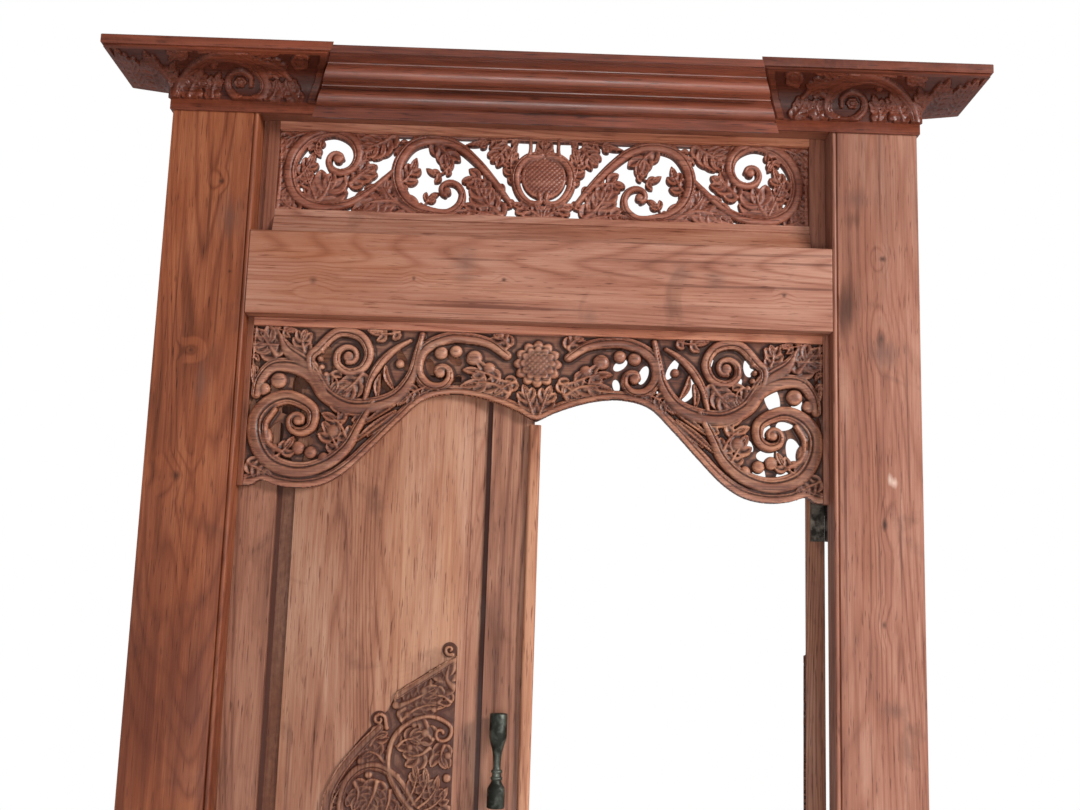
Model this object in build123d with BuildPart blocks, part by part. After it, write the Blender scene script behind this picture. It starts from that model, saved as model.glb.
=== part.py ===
from build123d import *
import os
from math import cos, pi, radians, sin

os.makedirs("parts", exist_ok=True)

# Carved double door in its teak frame, in millimetres. X runs to the right as seen from outside,
# Y into the building, Z up. The origin is on the floor, in the middle of the doorway, in the
# plane of the front faces of the posts.

# Doorway and posts
opening_width = 1250.0
post_width = 186.0
frame_depth = 104.0
stop_gap = 1.0             # between a closed leaf and the shoulder that it closes on
stop_width = 12.0          # how far that shoulder covers the edge of the leaf
arris_bead = 5.0           # radius of the bead run along the inner front edge of each post
bead_quirk = 2.5           # groove beside that bead

# Heights above the floor
lintel_underside = 2012.0
lintel_height = 183.0
transom_height = 271.0     # from the lintel's top to the head beam
head_height = 105.0

# Tenons of the lintel in the posts, and of the posts in the head beam
tenon_thickness = 34.0
tenon_length = 60.0
tenon_shoulder = 26.0

# Transom light above the lintel
transom_setback = 8.0      # rear of the transom frame in front of the posts' rear
transom_thickness = 36.0
transom_stile = 36.0
transom_top_rail = 18.0
transom_bottom_rail = 68.0
transom_groove = 4.0
transom_edge_strip = 12.0  # set back by the groove along the outer edges of its stiles
rail_fillet = 15.0         # flat band at the top of its bottom rail
sill_reach = 14.0          # how far the foot of that rail stands forward
carving_setback = 4.0      # rear of its carving in front of the frame's rear
transom_ground = 16.0      # thickness of the carving at its leaves and grounds
transom_relief = 9.0       # how far its vines stand out from them

# Carved spandrel below the lintel
spandrel_gap = 2.0         # between the spandrel and the plane of the leaves' shoulder
spandrel_thickness = 20.0
spandrel_side_band = 13.0
spandrel_top_band = 18.0
spandrel_height = 364.0    # from the lintel's underside to the foot of the bands
spandrel_ground = 14.0     # thickness of its carving at the grounds
spandrel_relief = 9.0      # how far its vines stand out from them
cusp_drop = 206.0          # from the lintel's underside to the cusp in the middle

# Carvings
ribbon_turn = 30.0         # a vine's drawn sides bend once in so many degrees

# Leaves
leaf_thickness = 41.0
side_gap = 3.0
meeting_gap = 3.0
head_gap = 3.0
floor_gap = 8.0
stile_width = 90.0
top_rail_height = 120.0
bottom_rail_height = 180.0
rail_tenon_length = 60.0
rail_tenon_thickness = 14.0
rail_tenon_shoulder = 15.0
open_angle = 102.0         # the right leaf stands open by this much at rest

# Raised and fielded panel
tongue_length = 10.0
tongue_thickness = 16.0
field_setback = 1.0        # front of the field behind the front of the stiles
field_step = 3.0
bevel_width = 30.0
bevel_drop = 9.0
panel_margin = 9.0
panel_back_setback = 10.0

# Half of a leaf-shaped mountain carved on each panel
relief_height = 7.0
relief_ground = 4.0
relief_edge_gap = 16.0     # from the edge of the field to the straight side of the relief
relief_drop = 74.5         # middle of the relief below the middle of the panel
relief_rise = 367.0
relief_reach = 267.0

# Cover bead on the meeting edge of the left leaf
cover_bead_width = 25.0
cover_bead_proud = 12.0
cover_bead_overlap = 12.0
cover_bead_relief = 0.5
cover_bead_top_gap = 7.0
bead_round = 6.0           # radius of its front edges

# Pull handle
handle_height = 1105.0
handle_length = 187.0
handle_radius = 18.0
handle_waist = 7.5
handle_offset = 56.0       # from the middle of the doorway
handle_standoff = 34.0     # from the stile's face to the handle's axis
stud_radius = 4.0
stud_spacing = 128.0
nut_radius = 9.0
nut_thickness = 6.0
stud_end = 2.0             # how far a stud shows behind its nut

# Hinges
hinge_height = 110.0
hinge_levels = (230.0, 930.0, 1630.0)
knuckle_radius = 6.0
pin_radius = 3.0
pin_clearance = 0.05
knuckle_gap = 0.3          # between the frame's knuckle and the leaf's above it
plate_thickness = 2.5
plate_width = 29.5
plate_setback = 0.5        # rear edge of a plate in front of the leaf's rear face
tab_reach = 3.0            # how far a plate runs on into its own knuckles

# Cornice
cornice_height = 113.0
cornice_reach = 127.0
cornice_lip = 18.0
end_lip = 20.0
end_rise = 7.0             # the carved end blocks sit this much higher than the mouldings
base_fillet = 24.0
base_proud = 6.0
divider_foot = 508.0       # where the moulding meets an end block, at its foot
divider_lean = 58.0
cove_reach = 50.0
cove_top = 84.0
cove_spring = 36.0

# Derived lines
half_opening = opening_width / 2
rebate_edge = half_opening + stop_width
stop_depth = frame_depth - leaf_thickness - stop_gap
post_outer = half_opening + post_width
lintel_top = lintel_underside + lintel_height
head_underside = lintel_top + transom_height
head_top = head_underside + head_height
leaf_outer = rebate_edge - side_gap
leaf_inner = meeting_gap / 2
leaf_front = frame_depth - leaf_thickness
leaf_top = lintel_underside + stop_width - head_gap
panel_outer = leaf_outer - stile_width
panel_inner = leaf_inner + stile_width
panel_bottom = floor_gap + bottom_rail_height
panel_top = leaf_top - top_rail_height
field_front = leaf_front + field_setback
margin_front = field_front + field_step + bevel_drop
panel_back = frame_depth - panel_back_setback
tongue_front = margin_front + 1.0
tongue_back = tongue_front + tongue_thickness
rail_tenon_front = tongue_front
rail_tenon_back = rail_tenon_front + rail_tenon_thickness
rail_tenons = (
    (floor_gap + rail_tenon_shoulder, panel_bottom - rail_tenon_shoulder),
    (panel_top + rail_tenon_shoulder, leaf_top - rail_tenon_shoulder),
)
stud_heights = (handle_height - stud_spacing / 2, handle_height + stud_spacing / 2)
hinge_x = rebate_edge - side_gap / 2
hinge_y = frame_depth + knuckle_radius
plate_back = frame_depth - plate_setback
plate_front = plate_back - plate_width
tab_back = frame_depth + tab_reach
right_axis = Axis((hinge_x, hinge_y, 0), (0, 0, 1))

# Finished pieces by name, and the pieces of a closed left leaf that both leaves share
pieces = {}
closed = {}


def front(y):
    """Plane facing the street at depth y, with X to the right and Z up."""
    return Plane.XZ.offset(-y)


def block(x_low, x_high, y_low, y_high, z_low, z_high):
    """A plain board between two corners, added to the part being built."""
    with Locations(((x_low + x_high) / 2, (y_low + y_high) / 2, (z_low + z_high) / 2)):
        Box(x_high - x_low, y_high - y_low, z_high - z_low)


def cut_block(x_low, x_high, y_low, y_high, z_low, z_high):
    """The same board taken out of the part being built."""
    with Locations(((x_low + x_high) / 2, (y_low + y_high) / 2, (z_low + z_high) / 2)):
        Box(x_high - x_low, y_high - y_low, z_high - z_low, mode=Mode.SUBTRACT)


def spiral(centre, radii, angles, count):
    """Points of a logarithmic spiral about a centre, angles in degrees."""
    turns = []
    for step in range(count + 1):
        share = step / count
        radius = radii[0] * (radii[1] / radii[0]) ** share
        angle = radians(angles[0] + (angles[1] - angles[0]) * share)
        turns.append((centre[0] + radius * cos(angle), centre[1] + radius * sin(angle)))
    return turns


def set_out(points, origin, scale):
    """Points drawn from a carving's own corner, brought to their place on the board."""
    return [(origin[0] + x * scale[0], origin[1] + z * scale[1]) for x, z in points]


def stations(line):
    """Shares of a line's length at which a ribbon along it is drawn: where its heading has turned."""
    shares = [0.0]
    turned = 0.0
    steps = 80
    for step in range(1, steps):
        turned += line.tangent_at((step - 1) / steps).get_angle(line.tangent_at(step / steps))
        middle_passed = shares[-1] < 0.5 <= step / steps and len(shares) == 1
        if turned > ribbon_turn or middle_passed:
            shares.append(step / steps)
            turned = 0.0
    return shares + [1.0]


def ribbon(points, start_width, end_width, belly=0.0):
    """A vine or leaf drawn as a ribbon along a smooth line, added to the sketch being built."""
    line = Edge.make_spline([Vector(*point) for point in points])
    left_side = []
    right_side = []
    for share in stations(line):
        width = start_width + (end_width - start_width) * share + belly * sin(pi * share)
        spot = line.position_at(share)
        heading = line.tangent_at(share)
        across = Vector(-heading.Y, heading.X) * (width / 2)
        left_side.append(spot + across)
        right_side.append(spot - across)
    with BuildLine() as outline:
        Polyline(*left_side, *reversed(right_side), close=True)
    make_face(outline.edges())


def vines(lines, origin, scale):
    """Vines, in the sketch being built; widths follow the larger scale, so crossings stay joined."""
    fuller = max(scale)
    for points, start_width, end_width in lines:
        ribbon(set_out(points, origin, scale), start_width * fuller, end_width * fuller)


def bosses(rounds, origin, scale):
    """The round eyes that scrolls end in, in the sketch being built."""
    for centre, radius in rounds:
        with Locations(*set_out([centre], origin, scale)):
            Circle(radius * max(scale))


def leaves(lines, origin, scale):
    """Leaves between the vines, in the sketch being built."""
    fuller = max(scale)
    for points, start_width, end_width, belly in lines:
        ribbon(set_out(points, origin, scale), start_width * fuller, end_width * fuller, belly * fuller)


# Posts: moulded inner edge in front, rebate for the leaf behind, mortise for the lintel
mortise_middle = frame_depth / 2
mortise_front = mortise_middle - tenon_thickness / 2
mortise_back = mortise_middle + tenon_thickness / 2
bead_outer = -half_opening - 2 * arris_bead
with BuildPart() as left_post:
    with BuildSketch(Plane.XY):
        with BuildLine():
            Polyline(
                (bead_outer, arris_bead),
                (bead_outer - bead_quirk, 0),
                (-post_outer, 0),
                (-post_outer, frame_depth),
                (-half_opening, frame_depth),
                (-half_opening, arris_bead),
            )
            ThreePointArc(
                (-half_opening, arris_bead),
                (-half_opening - arris_bead, 0),
                (bead_outer, arris_bead),
            )
        make_face()
    extrude(amount=head_underside)
    cut_block(-rebate_edge, -half_opening, stop_depth, frame_depth, 0, lintel_underside + stop_width)
    cut_block(
        -half_opening - tenon_length, -half_opening, mortise_front, mortise_back,
        lintel_underside + tenon_shoulder, lintel_top - tenon_shoulder,
    )
    block(
        -post_outer + tenon_shoulder, -rebate_edge - tenon_shoulder, mortise_front, mortise_back,
        head_underside, head_underside + tenon_length,
    )
    for level in hinge_levels:
        cut_block(
            -rebate_edge - plate_thickness, -rebate_edge, plate_front, frame_depth,
            level - hinge_height / 2, level + hinge_height / 2,
        )
pieces["left_post"] = left_post.part

with BuildPart() as right_post:
    add(left_post.part)
    mirror(about=Plane.YZ, mode=Mode.REPLACE)
pieces["right_post"] = right_post.part

# Lintel between the posts, rebated below like the posts
with BuildPart() as lintel:
    block(-half_opening, half_opening, 0, frame_depth, lintel_underside, lintel_top)
    cut_block(
        -half_opening, half_opening, stop_depth, frame_depth,
        lintel_underside, lintel_underside + stop_width,
    )
    block(
        -half_opening - tenon_length, half_opening + tenon_length, mortise_front, mortise_back,
        lintel_underside + tenon_shoulder, lintel_top - tenon_shoulder,
    )
pieces["lintel"] = lintel.part

# Head beam across the tops of the posts, behind the cornice
with BuildPart() as head_beam:
    block(-post_outer, post_outer, 0, frame_depth, head_underside, head_top)
    for side in (-1, 1):
        tenon_ends = sorted((side * (post_outer - tenon_shoulder), side * (rebate_edge + tenon_shoulder)))
        cut_block(
            tenon_ends[0], tenon_ends[1], mortise_front, mortise_back,
            head_underside, head_underside + tenon_length,
        )
pieces["head_beam"] = head_beam.part

# Transom frame
transom_low = lintel_top
transom_back = frame_depth - transom_setback
transom_face = transom_back - transom_thickness
transom_carving_back = transom_back - carving_setback
carving_low = transom_low + transom_bottom_rail
carving_high = head_underside - transom_top_rail
carving_half = half_opening - transom_stile
with BuildPart() as transom_left_stile:
    block(-half_opening, -carving_half, transom_face, transom_back, transom_low, head_underside)
    cut_block(
        -half_opening, -half_opening + transom_edge_strip,
        transom_face, transom_face + transom_groove, transom_low, head_underside,
    )
pieces["transom_left_stile"] = transom_left_stile.part

with BuildPart() as transom_right_stile:
    add(transom_left_stile.part)
    mirror(about=Plane.YZ, mode=Mode.REPLACE)
pieces["transom_right_stile"] = transom_right_stile.part

with BuildPart() as transom_top_piece:
    block(-carving_half, carving_half, transom_face, transom_back, carving_high, head_underside)
pieces["transom_top_rail"] = transom_top_piece.part

with BuildPart() as transom_bottom_piece:
    with BuildSketch(Plane.YZ.offset(-carving_half)):
        with BuildLine():
            Polyline(
                (transom_face, carving_low),
                (transom_face, carving_low - rail_fillet),
                (transom_face + transom_groove, carving_low - rail_fillet - 2),
                (transom_face - 2, carving_low - rail_fillet - 6),
                (transom_face - sill_reach, transom_low + sill_reach),
                (transom_face - sill_reach, transom_low),
                (transom_back, transom_low),
                (transom_back, carving_low),
                close=True,
            )
        make_face()
    extrude(amount=2 * carving_half)
pieces["transom_bottom_rail"] = transom_bottom_piece.part

# Carving of the transom light, drawn as its right half from the middle of its lower edge, on a
# field 589 wide and 185 high: points of the middle line, width at the start, width at the end
transom_layout = ((0, carving_low), (carving_half / 589, (carving_high - carving_low) / 185))
transom_vines = (
    (
        [(76, 43), (112, 87), (152, 133), (192, 167), (242, 179), (292, 167), (321, 129),
         (328, 89), (312, 45), (282, 19)] + spiral((213, 57), (61, 17), (-50, -350), 6),
        17, 10,
    ),
    (
        [(328, 99), (384, 53), (434, 21), (504, 9), (549, 31), (570, 79), (564, 129)]
        + spiral((459, 123), (84, 18), (34, 440), 8),
        18, 11,
    ),
    ([(12, 171), (50, 148), (71, 105), (66, 63), (44, 40), (22, 38)], 12, 10),
)
transom_bosses = (((213, 57), 14), ((459, 123), 15), ((26, 49), 9))
# Leaves: points, width at the start, width at the end, how much wider in the middle
transom_leaves = (
    ([(0, 0), (30, 23), (86, 59)], 24, 14, 0),
    ([(90, 55), (128, 21), (190, 3)], 12, 14, 12),
    ([(226, 179), (204, 145), (216, 111)], 10, 14, 18),
    ([(322, 63), (288, 83), (268, 125)], 16, 4, 8),
    ([(296, 5), (352, 35), (420, 5)], 16, 18, 24),
    ([(340, 189), (362, 161), (404, 141)], 22, 12, 14),
    ([(424, 121), (398, 97), (372, 65)], 18, 4, 12),
    ([(502, 13), (484, 49), (466, 81)], 12, 10, 26),
    ([(566, 67), (528, 85), (500, 129)], 14, 6, 12),
    ([(589, 1), (587, 87), (589, 183)], 30, 34, -18),
)
transom_pod = (((0, 97), 46),)
carving_margin = 5.0


def carved_field():
    """Clips the sketch being built to the opening of the transom frame."""
    with Locations((0, (carving_low + carving_high) / 2)):
        Rectangle(2 * carving_half, carving_high - carving_low, mode=Mode.INTERSECT)


with BuildPart() as transom_carving:
    with BuildSketch(front(transom_carving_back)):
        vines(transom_vines, *transom_layout)
        leaves(transom_leaves, *transom_layout)
        mirror(about=Plane.YZ)
        with BuildSketch(mode=Mode.PRIVATE) as transom_edge:
            with Locations((0, (carving_low + carving_high) / 2)):
                Rectangle(2 * carving_half, carving_high - carving_low)
                Rectangle(
                    2 * (carving_half - carving_margin), carving_high - carving_low - 2 * carving_margin,
                    mode=Mode.SUBTRACT,
                )
        add(transom_edge.sketch)
        bosses(transom_pod, *transom_layout)
        carved_field()
    extrude(amount=transom_ground)
    with BuildSketch(front(transom_carving_back - transom_ground)):
        vines(transom_vines, *transom_layout)
        bosses(transom_bosses, *transom_layout)
        mirror(about=Plane.YZ)
        bosses(transom_pod, *transom_layout)
        carved_field()
    extrude(amount=transom_relief)
pieces["transom_carving"] = transom_carving.part

# Spandrel frame: narrow bands on three sides of the carving
spandrel_half = half_opening - spandrel_side_band
spandrel_top = lintel_underside - spandrel_top_band
spandrel_foot = lintel_underside - spandrel_height
cusp_height = lintel_underside - cusp_drop
spandrel_back = stop_depth - spandrel_gap
spandrel_face = spandrel_back - spandrel_thickness
with BuildPart() as spandrel_left_band:
    block(-half_opening, -spandrel_half, spandrel_face, spandrel_back, spandrel_foot, lintel_underside)
pieces["spandrel_left_band"] = spandrel_left_band.part

with BuildPart() as spandrel_right_band:
    block(spandrel_half, half_opening, spandrel_face, spandrel_back, spandrel_foot, lintel_underside)
pieces["spandrel_right_band"] = spandrel_right_band.part

with BuildPart() as spandrel_top_piece:
    block(-spandrel_half, spandrel_half, spandrel_face, spandrel_back, spandrel_top, lintel_underside)
pieces["spandrel_top_band"] = spandrel_top_piece.part

# Carving of the spandrel, drawn as its right half from the middle of its upper edge downwards, on
# a board 612 wide and 346 high
spandrel_layout = ((0, spandrel_top), (spandrel_half / 612, (spandrel_top - spandrel_foot) / 346))
spandrel_scallop = (
    (185, -136), (246, -152), (294, -200), (400, -310), (444, -338), (495, -347), (540, -342), (577, -333),
    (594, -344),
)
arch_rise = 0.77           # share of the crown's rise over the cusp that the arch has at its half
spandrel_inner = (
    (600, -294), (600, -10), (10, -10), (10, -94), (60, -124), (185, -118), (260, -144),
    (310, -194), (400, -282), (450, -318), (520, -326),
)
spandrel_vines = (
    ([(70, -46), (104, -20), (150, -12)] + spiral((208, -90), (80, 16), (100, -250), 6), 18, 10),
    (
        [(352, -162), (380, -208), (402, -254), (440, -294), (500, -313), (560, -297), (593, -249),
         (598, -199), (570, -163), (528, -152), (490, -166)] + spiral((505, -204), (37, 14), (165, 540), 6),
        22, 11,
    ),
    ([(440, -148), (474, -114), (488, -79)] + spiral((405, -64), (74, 18), (8, 600), 10), 16, 10),
    (
        [(262, -69), (270, -109), (296, -144), (338, -168), (385, -176), (430, -162), (462, -130),
         (500, -92), (550, -80), (586, -101), (602, -144)],
        22, 12,
    ),
)
spandrel_bosses = (((208, -90), 13), ((505, -204), 11), ((405, -64), 15))
spandrel_leaves = (
    ([(440, -144), (500, -88), (604, -10)], 14, 40, 0),
    ([(256, -6), (285, -74), (345, -159)], 10, 20, 0),
    ([(268, -6), (325, -50), (372, -149)], 10, 14, 0),
    ([(606, -246), (560, -204), (520, -202)], 22, 8, 6),
    ([(560, -294), (530, -254), (500, -244)], 20, 8, 8),
    ([(436, -272), (466, -242), (496, -228)], 22, 6, 8),
    ([(330, 2), (372, -22), (404, -2)], 22, 20, -4),
    ([(60, -122), (120, -96), (192, -106)], 16, 10, 14),
    ([(120, -10), (150, -42), (200, -34)], 22, 14, 10),
    ([(14, -122), (48, -92), (70, -48)], 22, 12, 8),
    ([(604, -4), (610, -94), (606, -294)], 30, 26, -14),
)
spandrel_rosette = (((0, -64), 45),)
spandrel_seeds = (((0, -64), 24),)


def spandrel_outline(mode):
    """The outline of the right half: straight against its frame, scalloped below."""
    crown, arch_side, shoulder, lobe, lobe_side, lobe_foot, lobe_return, lobe_end, toe = set_out(
        spandrel_scallop, *spandrel_layout
    )
    cusp = (0, cusp_height)
    arch_half = (crown[0] / 2, cusp_height + arch_rise * (crown[1] - cusp_height))
    with BuildLine() as edge:
        Polyline(toe, (spandrel_half, spandrel_foot), (spandrel_half, spandrel_top), (0, spandrel_top), cusp)
        ThreePointArc(cusp, arch_half, crown)
        ThreePointArc(crown, arch_side, shoulder)
        Line(shoulder, lobe)
        ThreePointArc(lobe, lobe_side, lobe_foot)
        ThreePointArc(lobe_foot, lobe_return, lobe_end)
        Line(lobe_end, toe)
    make_face(edge.edges(), mode=mode)


with BuildPart() as spandrel_carving:
    with BuildSketch(front(spandrel_back)):
        spandrel_outline(Mode.ADD)
        with BuildLine():
            Polyline(*set_out(spandrel_inner, *spandrel_layout), close=True)
        make_face(mode=Mode.SUBTRACT)
        vines(spandrel_vines, *spandrel_layout)
        leaves(spandrel_leaves, *spandrel_layout)
        spandrel_outline(Mode.INTERSECT)
        mirror(about=Plane.YZ)
        bosses(spandrel_rosette, *spandrel_layout)
    extrude(amount=spandrel_ground)
    with BuildSketch(front(spandrel_back - spandrel_ground)):
        vines(spandrel_vines, *spandrel_layout)
        bosses(spandrel_bosses, *spandrel_layout)
        spandrel_outline(Mode.INTERSECT)
        mirror(about=Plane.YZ)
        bosses(spandrel_seeds, *spandrel_layout)
    extrude(amount=spandrel_relief)
pieces["spandrel_carving"] = spandrel_carving.part

# Cornice: a straight run of mouldings between two carved end blocks that return along the sides.
# Profiles are drawn as (reach from the post's face, height above the foot).
end_base = head_top - cornice_height
moulding_base = end_base - end_rise
lip_foot = cornice_height - end_lip
run_start = (divider_foot - divider_lean, 0, end_base)
ornament_proud = 5.0
divider = Plane(
    origin=(divider_foot, 0, end_base),
    z_dir=(1, -divider_lean / 2 / cornice_reach, divider_lean / 2 / cornice_height),
)


def moulding_profile():
    """Section of the middle run, in the sketch being built."""
    with BuildLine() as section:
        Polyline((0, 0), (base_proud, 0), (base_proud, base_fillet), (3, base_fillet), (12, 38))
        ThreePointArc((12, 38), (26, 46), (18, 55))
        ThreePointArc((18, 55), (38, 69), (66, 70))
        ThreePointArc((66, 70), (84, 78), (76, 86))
        ThreePointArc((76, 86), (92, 94), (110, 95))
        Polyline(
            (110, 95), (121, cornice_height - cornice_lip), (cornice_reach, 97),
            (cornice_reach, cornice_height), (0, cornice_height), (0, 0),
        )
    make_face(section.edges())


def end_profile():
    """Section of an end block: a cove under a flat lip."""
    with BuildLine() as section:
        Polyline((0, 0), (base_proud, 0), (base_proud, base_fillet), (base_proud, cove_spring))
        ThreePointArc((base_proud, cove_spring), (18, 71), (cove_reach, cove_top))
        Polyline(
            (cove_reach, cove_top), (cornice_reach - 5, lip_foot - 1), (cornice_reach, lip_foot),
            (cornice_reach, cornice_height), (0, cornice_height), (0, 0),
        )
    make_face(section.edges())


def ornament_profile():
    """The same section as far out as the carver's ornament stands, in flats."""
    with BuildLine() as section:
        Polyline(
            (0, base_fillet), (base_proud, base_fillet), (base_proud + ornament_proud, cove_spring - 5),
            (15, 57), (30, 74), (cove_reach + 4, cove_top - ornament_proud),
            (cornice_reach - 8, lip_foot - ornament_proud), (cornice_reach - 5, lip_foot),
            (0, lip_foot), (0, base_fillet),
        )
    make_face(section.edges())


def corner_run(section):
    """An end block's section carried along the front and back along the side."""
    with BuildLine() as run:
        Polyline(run_start, (post_outer, 0, end_base), (post_outer, frame_depth, end_base))
    return sweep(section.sketch, run.wire(), transition=Transition.RIGHT)


with BuildPart() as cornice_moulding:
    with BuildSketch(Plane((0, 0, moulding_base), (0, -1, 0), (-1, 0, 0))):
        moulding_profile()
    extrude(amount=-divider_foot - divider_lean)
    split(bisect_by=divider, keep=Keep.BOTTOM)
    mirror(about=Plane.YZ)
pieces["cornice_moulding"] = cornice_moulding.part

# Ornament of the end blocks as it is seen from the street, drawn on a plane in front of the cove
# from the corner of the post and the foot of the block, 113 high
ornament_layout = ((post_outer, end_base), (cornice_height / 113, cornice_height / 113))
cornice_vines = (
    (
        [(-49, 74), (-101, 101), (-161, 92), (-203, 52), (-197, 8), (-163, 3), (-151, 30)],
        14, 8,
    ),
    ([(-245, 74), (-209, 81), (-171, 94)], 5, 12),
)
cornice_bosses = (((-171, 39), 10),)
cornice_leaves = (
    ([(-59, 10), (-95, 32), (-121, 72)], 12, 10, 14),
    ([(-283, 4), (-263, 38), (-249, 70)], 12, 8, 14),
    ([(-5, 12), (13, 54), (35, 108)], 16, 34, 0),
    ([(-291, 124), (-263, 98), (-219, 94)], 24, 8, 6),
)
ornament_plane = -60.0
ornament_reach = 150.0
sight_line = (0.22, 0.88, 0.41)

with BuildPart() as cornice_ornament:
    with BuildSketch(Plane(run_start, (0, -1, 0), (-1, 0, 0)), mode=Mode.PRIVATE) as ornament_section:
        ornament_profile()
    add(corner_run(ornament_section))
    with BuildSketch(front(ornament_plane)):
        vines(cornice_vines, *ornament_layout)
        bosses(cornice_bosses, *ornament_layout)
        leaves(cornice_leaves, *ornament_layout)
    extrude(amount=ornament_reach, dir=sight_line, both=True, mode=Mode.INTERSECT)

with BuildPart() as cornice_right_end:
    with BuildSketch(Plane(run_start, (0, -1, 0), (-1, 0, 0)), mode=Mode.PRIVATE) as end_section:
        end_profile()
    add(corner_run(end_section))
    add(cornice_ornament.part)
    split(bisect_by=divider, keep=Keep.TOP)
pieces["cornice_right_end"] = cornice_right_end.part

with BuildPart() as cornice_left_end:
    add(cornice_right_end.part)
    mirror(about=Plane.YZ, mode=Mode.REPLACE)
pieces["cornice_left_end"] = cornice_left_end.part

# Left leaf, closed. The stiles run through; the rails are tenoned into them.
with BuildPart() as hanging_stile:
    block(-leaf_outer, -panel_outer, leaf_front, frame_depth, floor_gap, leaf_top)
    cut_block(
        -panel_outer - tongue_length, -panel_outer, tongue_front, tongue_back,
        panel_bottom - tongue_length, panel_top + tongue_length,
    )
    for tenon_low, tenon_high in rail_tenons:
        cut_block(
            -panel_outer - rail_tenon_length, -panel_outer, rail_tenon_front, rail_tenon_back,
            tenon_low, tenon_high,
        )
    for level in hinge_levels:
        cut_block(
            -leaf_outer, -leaf_outer + plate_thickness, plate_front, frame_depth,
            level - hinge_height / 2, level + hinge_height / 2,
        )
closed["hanging_stile"] = hanging_stile.part

with BuildPart() as meeting_stile:
    block(-panel_inner, -leaf_inner, leaf_front, frame_depth, floor_gap, leaf_top)
    cut_block(
        -panel_inner, -panel_inner + tongue_length, tongue_front, tongue_back,
        panel_bottom - tongue_length, panel_top + tongue_length,
    )
    for tenon_low, tenon_high in rail_tenons:
        cut_block(
            -panel_inner, -panel_inner + rail_tenon_length, rail_tenon_front, rail_tenon_back,
            tenon_low, tenon_high,
        )
closed["meeting_stile"] = meeting_stile.part

with BuildPart() as top_rail:
    block(-panel_outer, -panel_inner, leaf_front, frame_depth, panel_top, leaf_top)
    block(
        -panel_outer - rail_tenon_length, -panel_inner + rail_tenon_length,
        rail_tenon_front, rail_tenon_back, rail_tenons[1][0], rail_tenons[1][1],
    )
    cut_block(
        -panel_outer, -panel_inner, tongue_front, tongue_back, panel_top, panel_top + tongue_length,
    )
closed["top_rail"] = top_rail.part

with BuildPart() as bottom_rail:
    block(-panel_outer, -panel_inner, leaf_front, frame_depth, floor_gap, panel_bottom)
    block(
        -panel_outer - rail_tenon_length, -panel_inner + rail_tenon_length,
        rail_tenon_front, rail_tenon_back, rail_tenons[0][0], rail_tenons[0][1],
    )
    cut_block(
        -panel_outer, -panel_inner, tongue_front, tongue_back, panel_bottom - tongue_length, panel_bottom,
    )
closed["bottom_rail"] = bottom_rail.part

# Raised and fielded panel with half of the mountain-leaf relief along the meeting side.
# The upper half of the relief is drawn from the middle of its straight side, 267 wide and 367
# high; the lower half mirrors it.
relief_middle = (panel_bottom + panel_top) / 2 - relief_drop
relief_mirror = Plane.XZ.offset(-relief_middle)
relief_side = -panel_inner - panel_margin - bevel_width - relief_edge_gap
relief_layout = ((relief_side, relief_middle), (relief_reach / 267, relief_rise / 367))
relief_shoulder = (
    (0, 367), (-21, 330), (-53, 308), (-118, 262), (-135, 226), (-173, 188),
)
relief_belly = ((-237, 105), (-267, 0))
relief_vines = (
    ([(-3, 335), (-53, 302), (-121, 256)], 10, 12),
    ([(-149, 192), (-189, 152), (-227, 106), (-251, 60), (-257, 0)], 14, 18),
    (
        [(-75, 20), (-115, 70), (-135, 122), (-119, 180), (-81, 212), (-41, 212),
         (-11, 190), (-15, 170), (-33, 168)],
        12, 8,
    ),
    ([(-115, 90), (-149, 112), (-193, 110), (-221, 78), (-223, 26)], 12, 10),
)
relief_bosses = (((-16, 352), 15), ((-155, 205), 17))
relief_leaves = (
    ([(-3, 274), (-21, 292), (-11, 326)], 8, 12, 26),
    ([(-121, 220), (-79, 248), (-39, 268)], 10, 8, 20),
    ([(-89, 40), (-59, 70), (-13, 110)], 10, 20, 44),
    ([(-183, 20), (-149, 40), (-115, 32)], 16, 10, 24),
)

with BuildPart() as panel:
    block(-panel_outer, -panel_inner, margin_front, panel_back, panel_bottom, panel_top)
    block(
        -panel_outer - tongue_length, -panel_inner + tongue_length, tongue_front, tongue_back,
        panel_bottom - tongue_length, panel_top + tongue_length,
    )
    field_centre = (-(panel_outer + panel_inner) / 2, (panel_bottom + panel_top) / 2)
    bevel_foot = (
        panel_outer - panel_inner - 2 * panel_margin, panel_top - panel_bottom - 2 * panel_margin,
    )
    field_size = (bevel_foot[0] - 2 * bevel_width, bevel_foot[1] - 2 * bevel_width)
    with BuildSketch(front(margin_front)):
        with Locations(field_centre):
            Rectangle(*bevel_foot)
    with BuildSketch(front(field_front + field_step)):
        with Locations(field_centre):
            Rectangle(*field_size)
    loft()
    with BuildSketch(front(field_front + field_step)):
        with Locations(field_centre):
            Rectangle(*field_size)
    extrude(amount=field_step)
    with BuildSketch(front(field_front)):
        with BuildLine():
            shoulder = set_out(relief_shoulder, *relief_layout)
            belly = set_out(relief_belly, *relief_layout)
            Polyline((relief_side, relief_middle), *shoulder)
            ThreePointArc(shoulder[-1], *belly)
            Line(belly[-1], (relief_side, relief_middle))
        make_face()
        mirror(about=relief_mirror)
    extrude(amount=relief_ground)
    with BuildSketch(front(field_front - relief_ground)):
        vines(relief_vines, *relief_layout)
        bosses(relief_bosses, *relief_layout)
        leaves(relief_leaves, *relief_layout)
        mirror(about=relief_mirror)
    extrude(amount=relief_height - relief_ground)
closed["panel"] = panel.part

for name, piece in closed.items():
    pieces["left_" + name] = piece
    pieces["right_" + name] = piece.mirror(Plane.YZ).rotate(right_axis, -open_angle)

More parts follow.
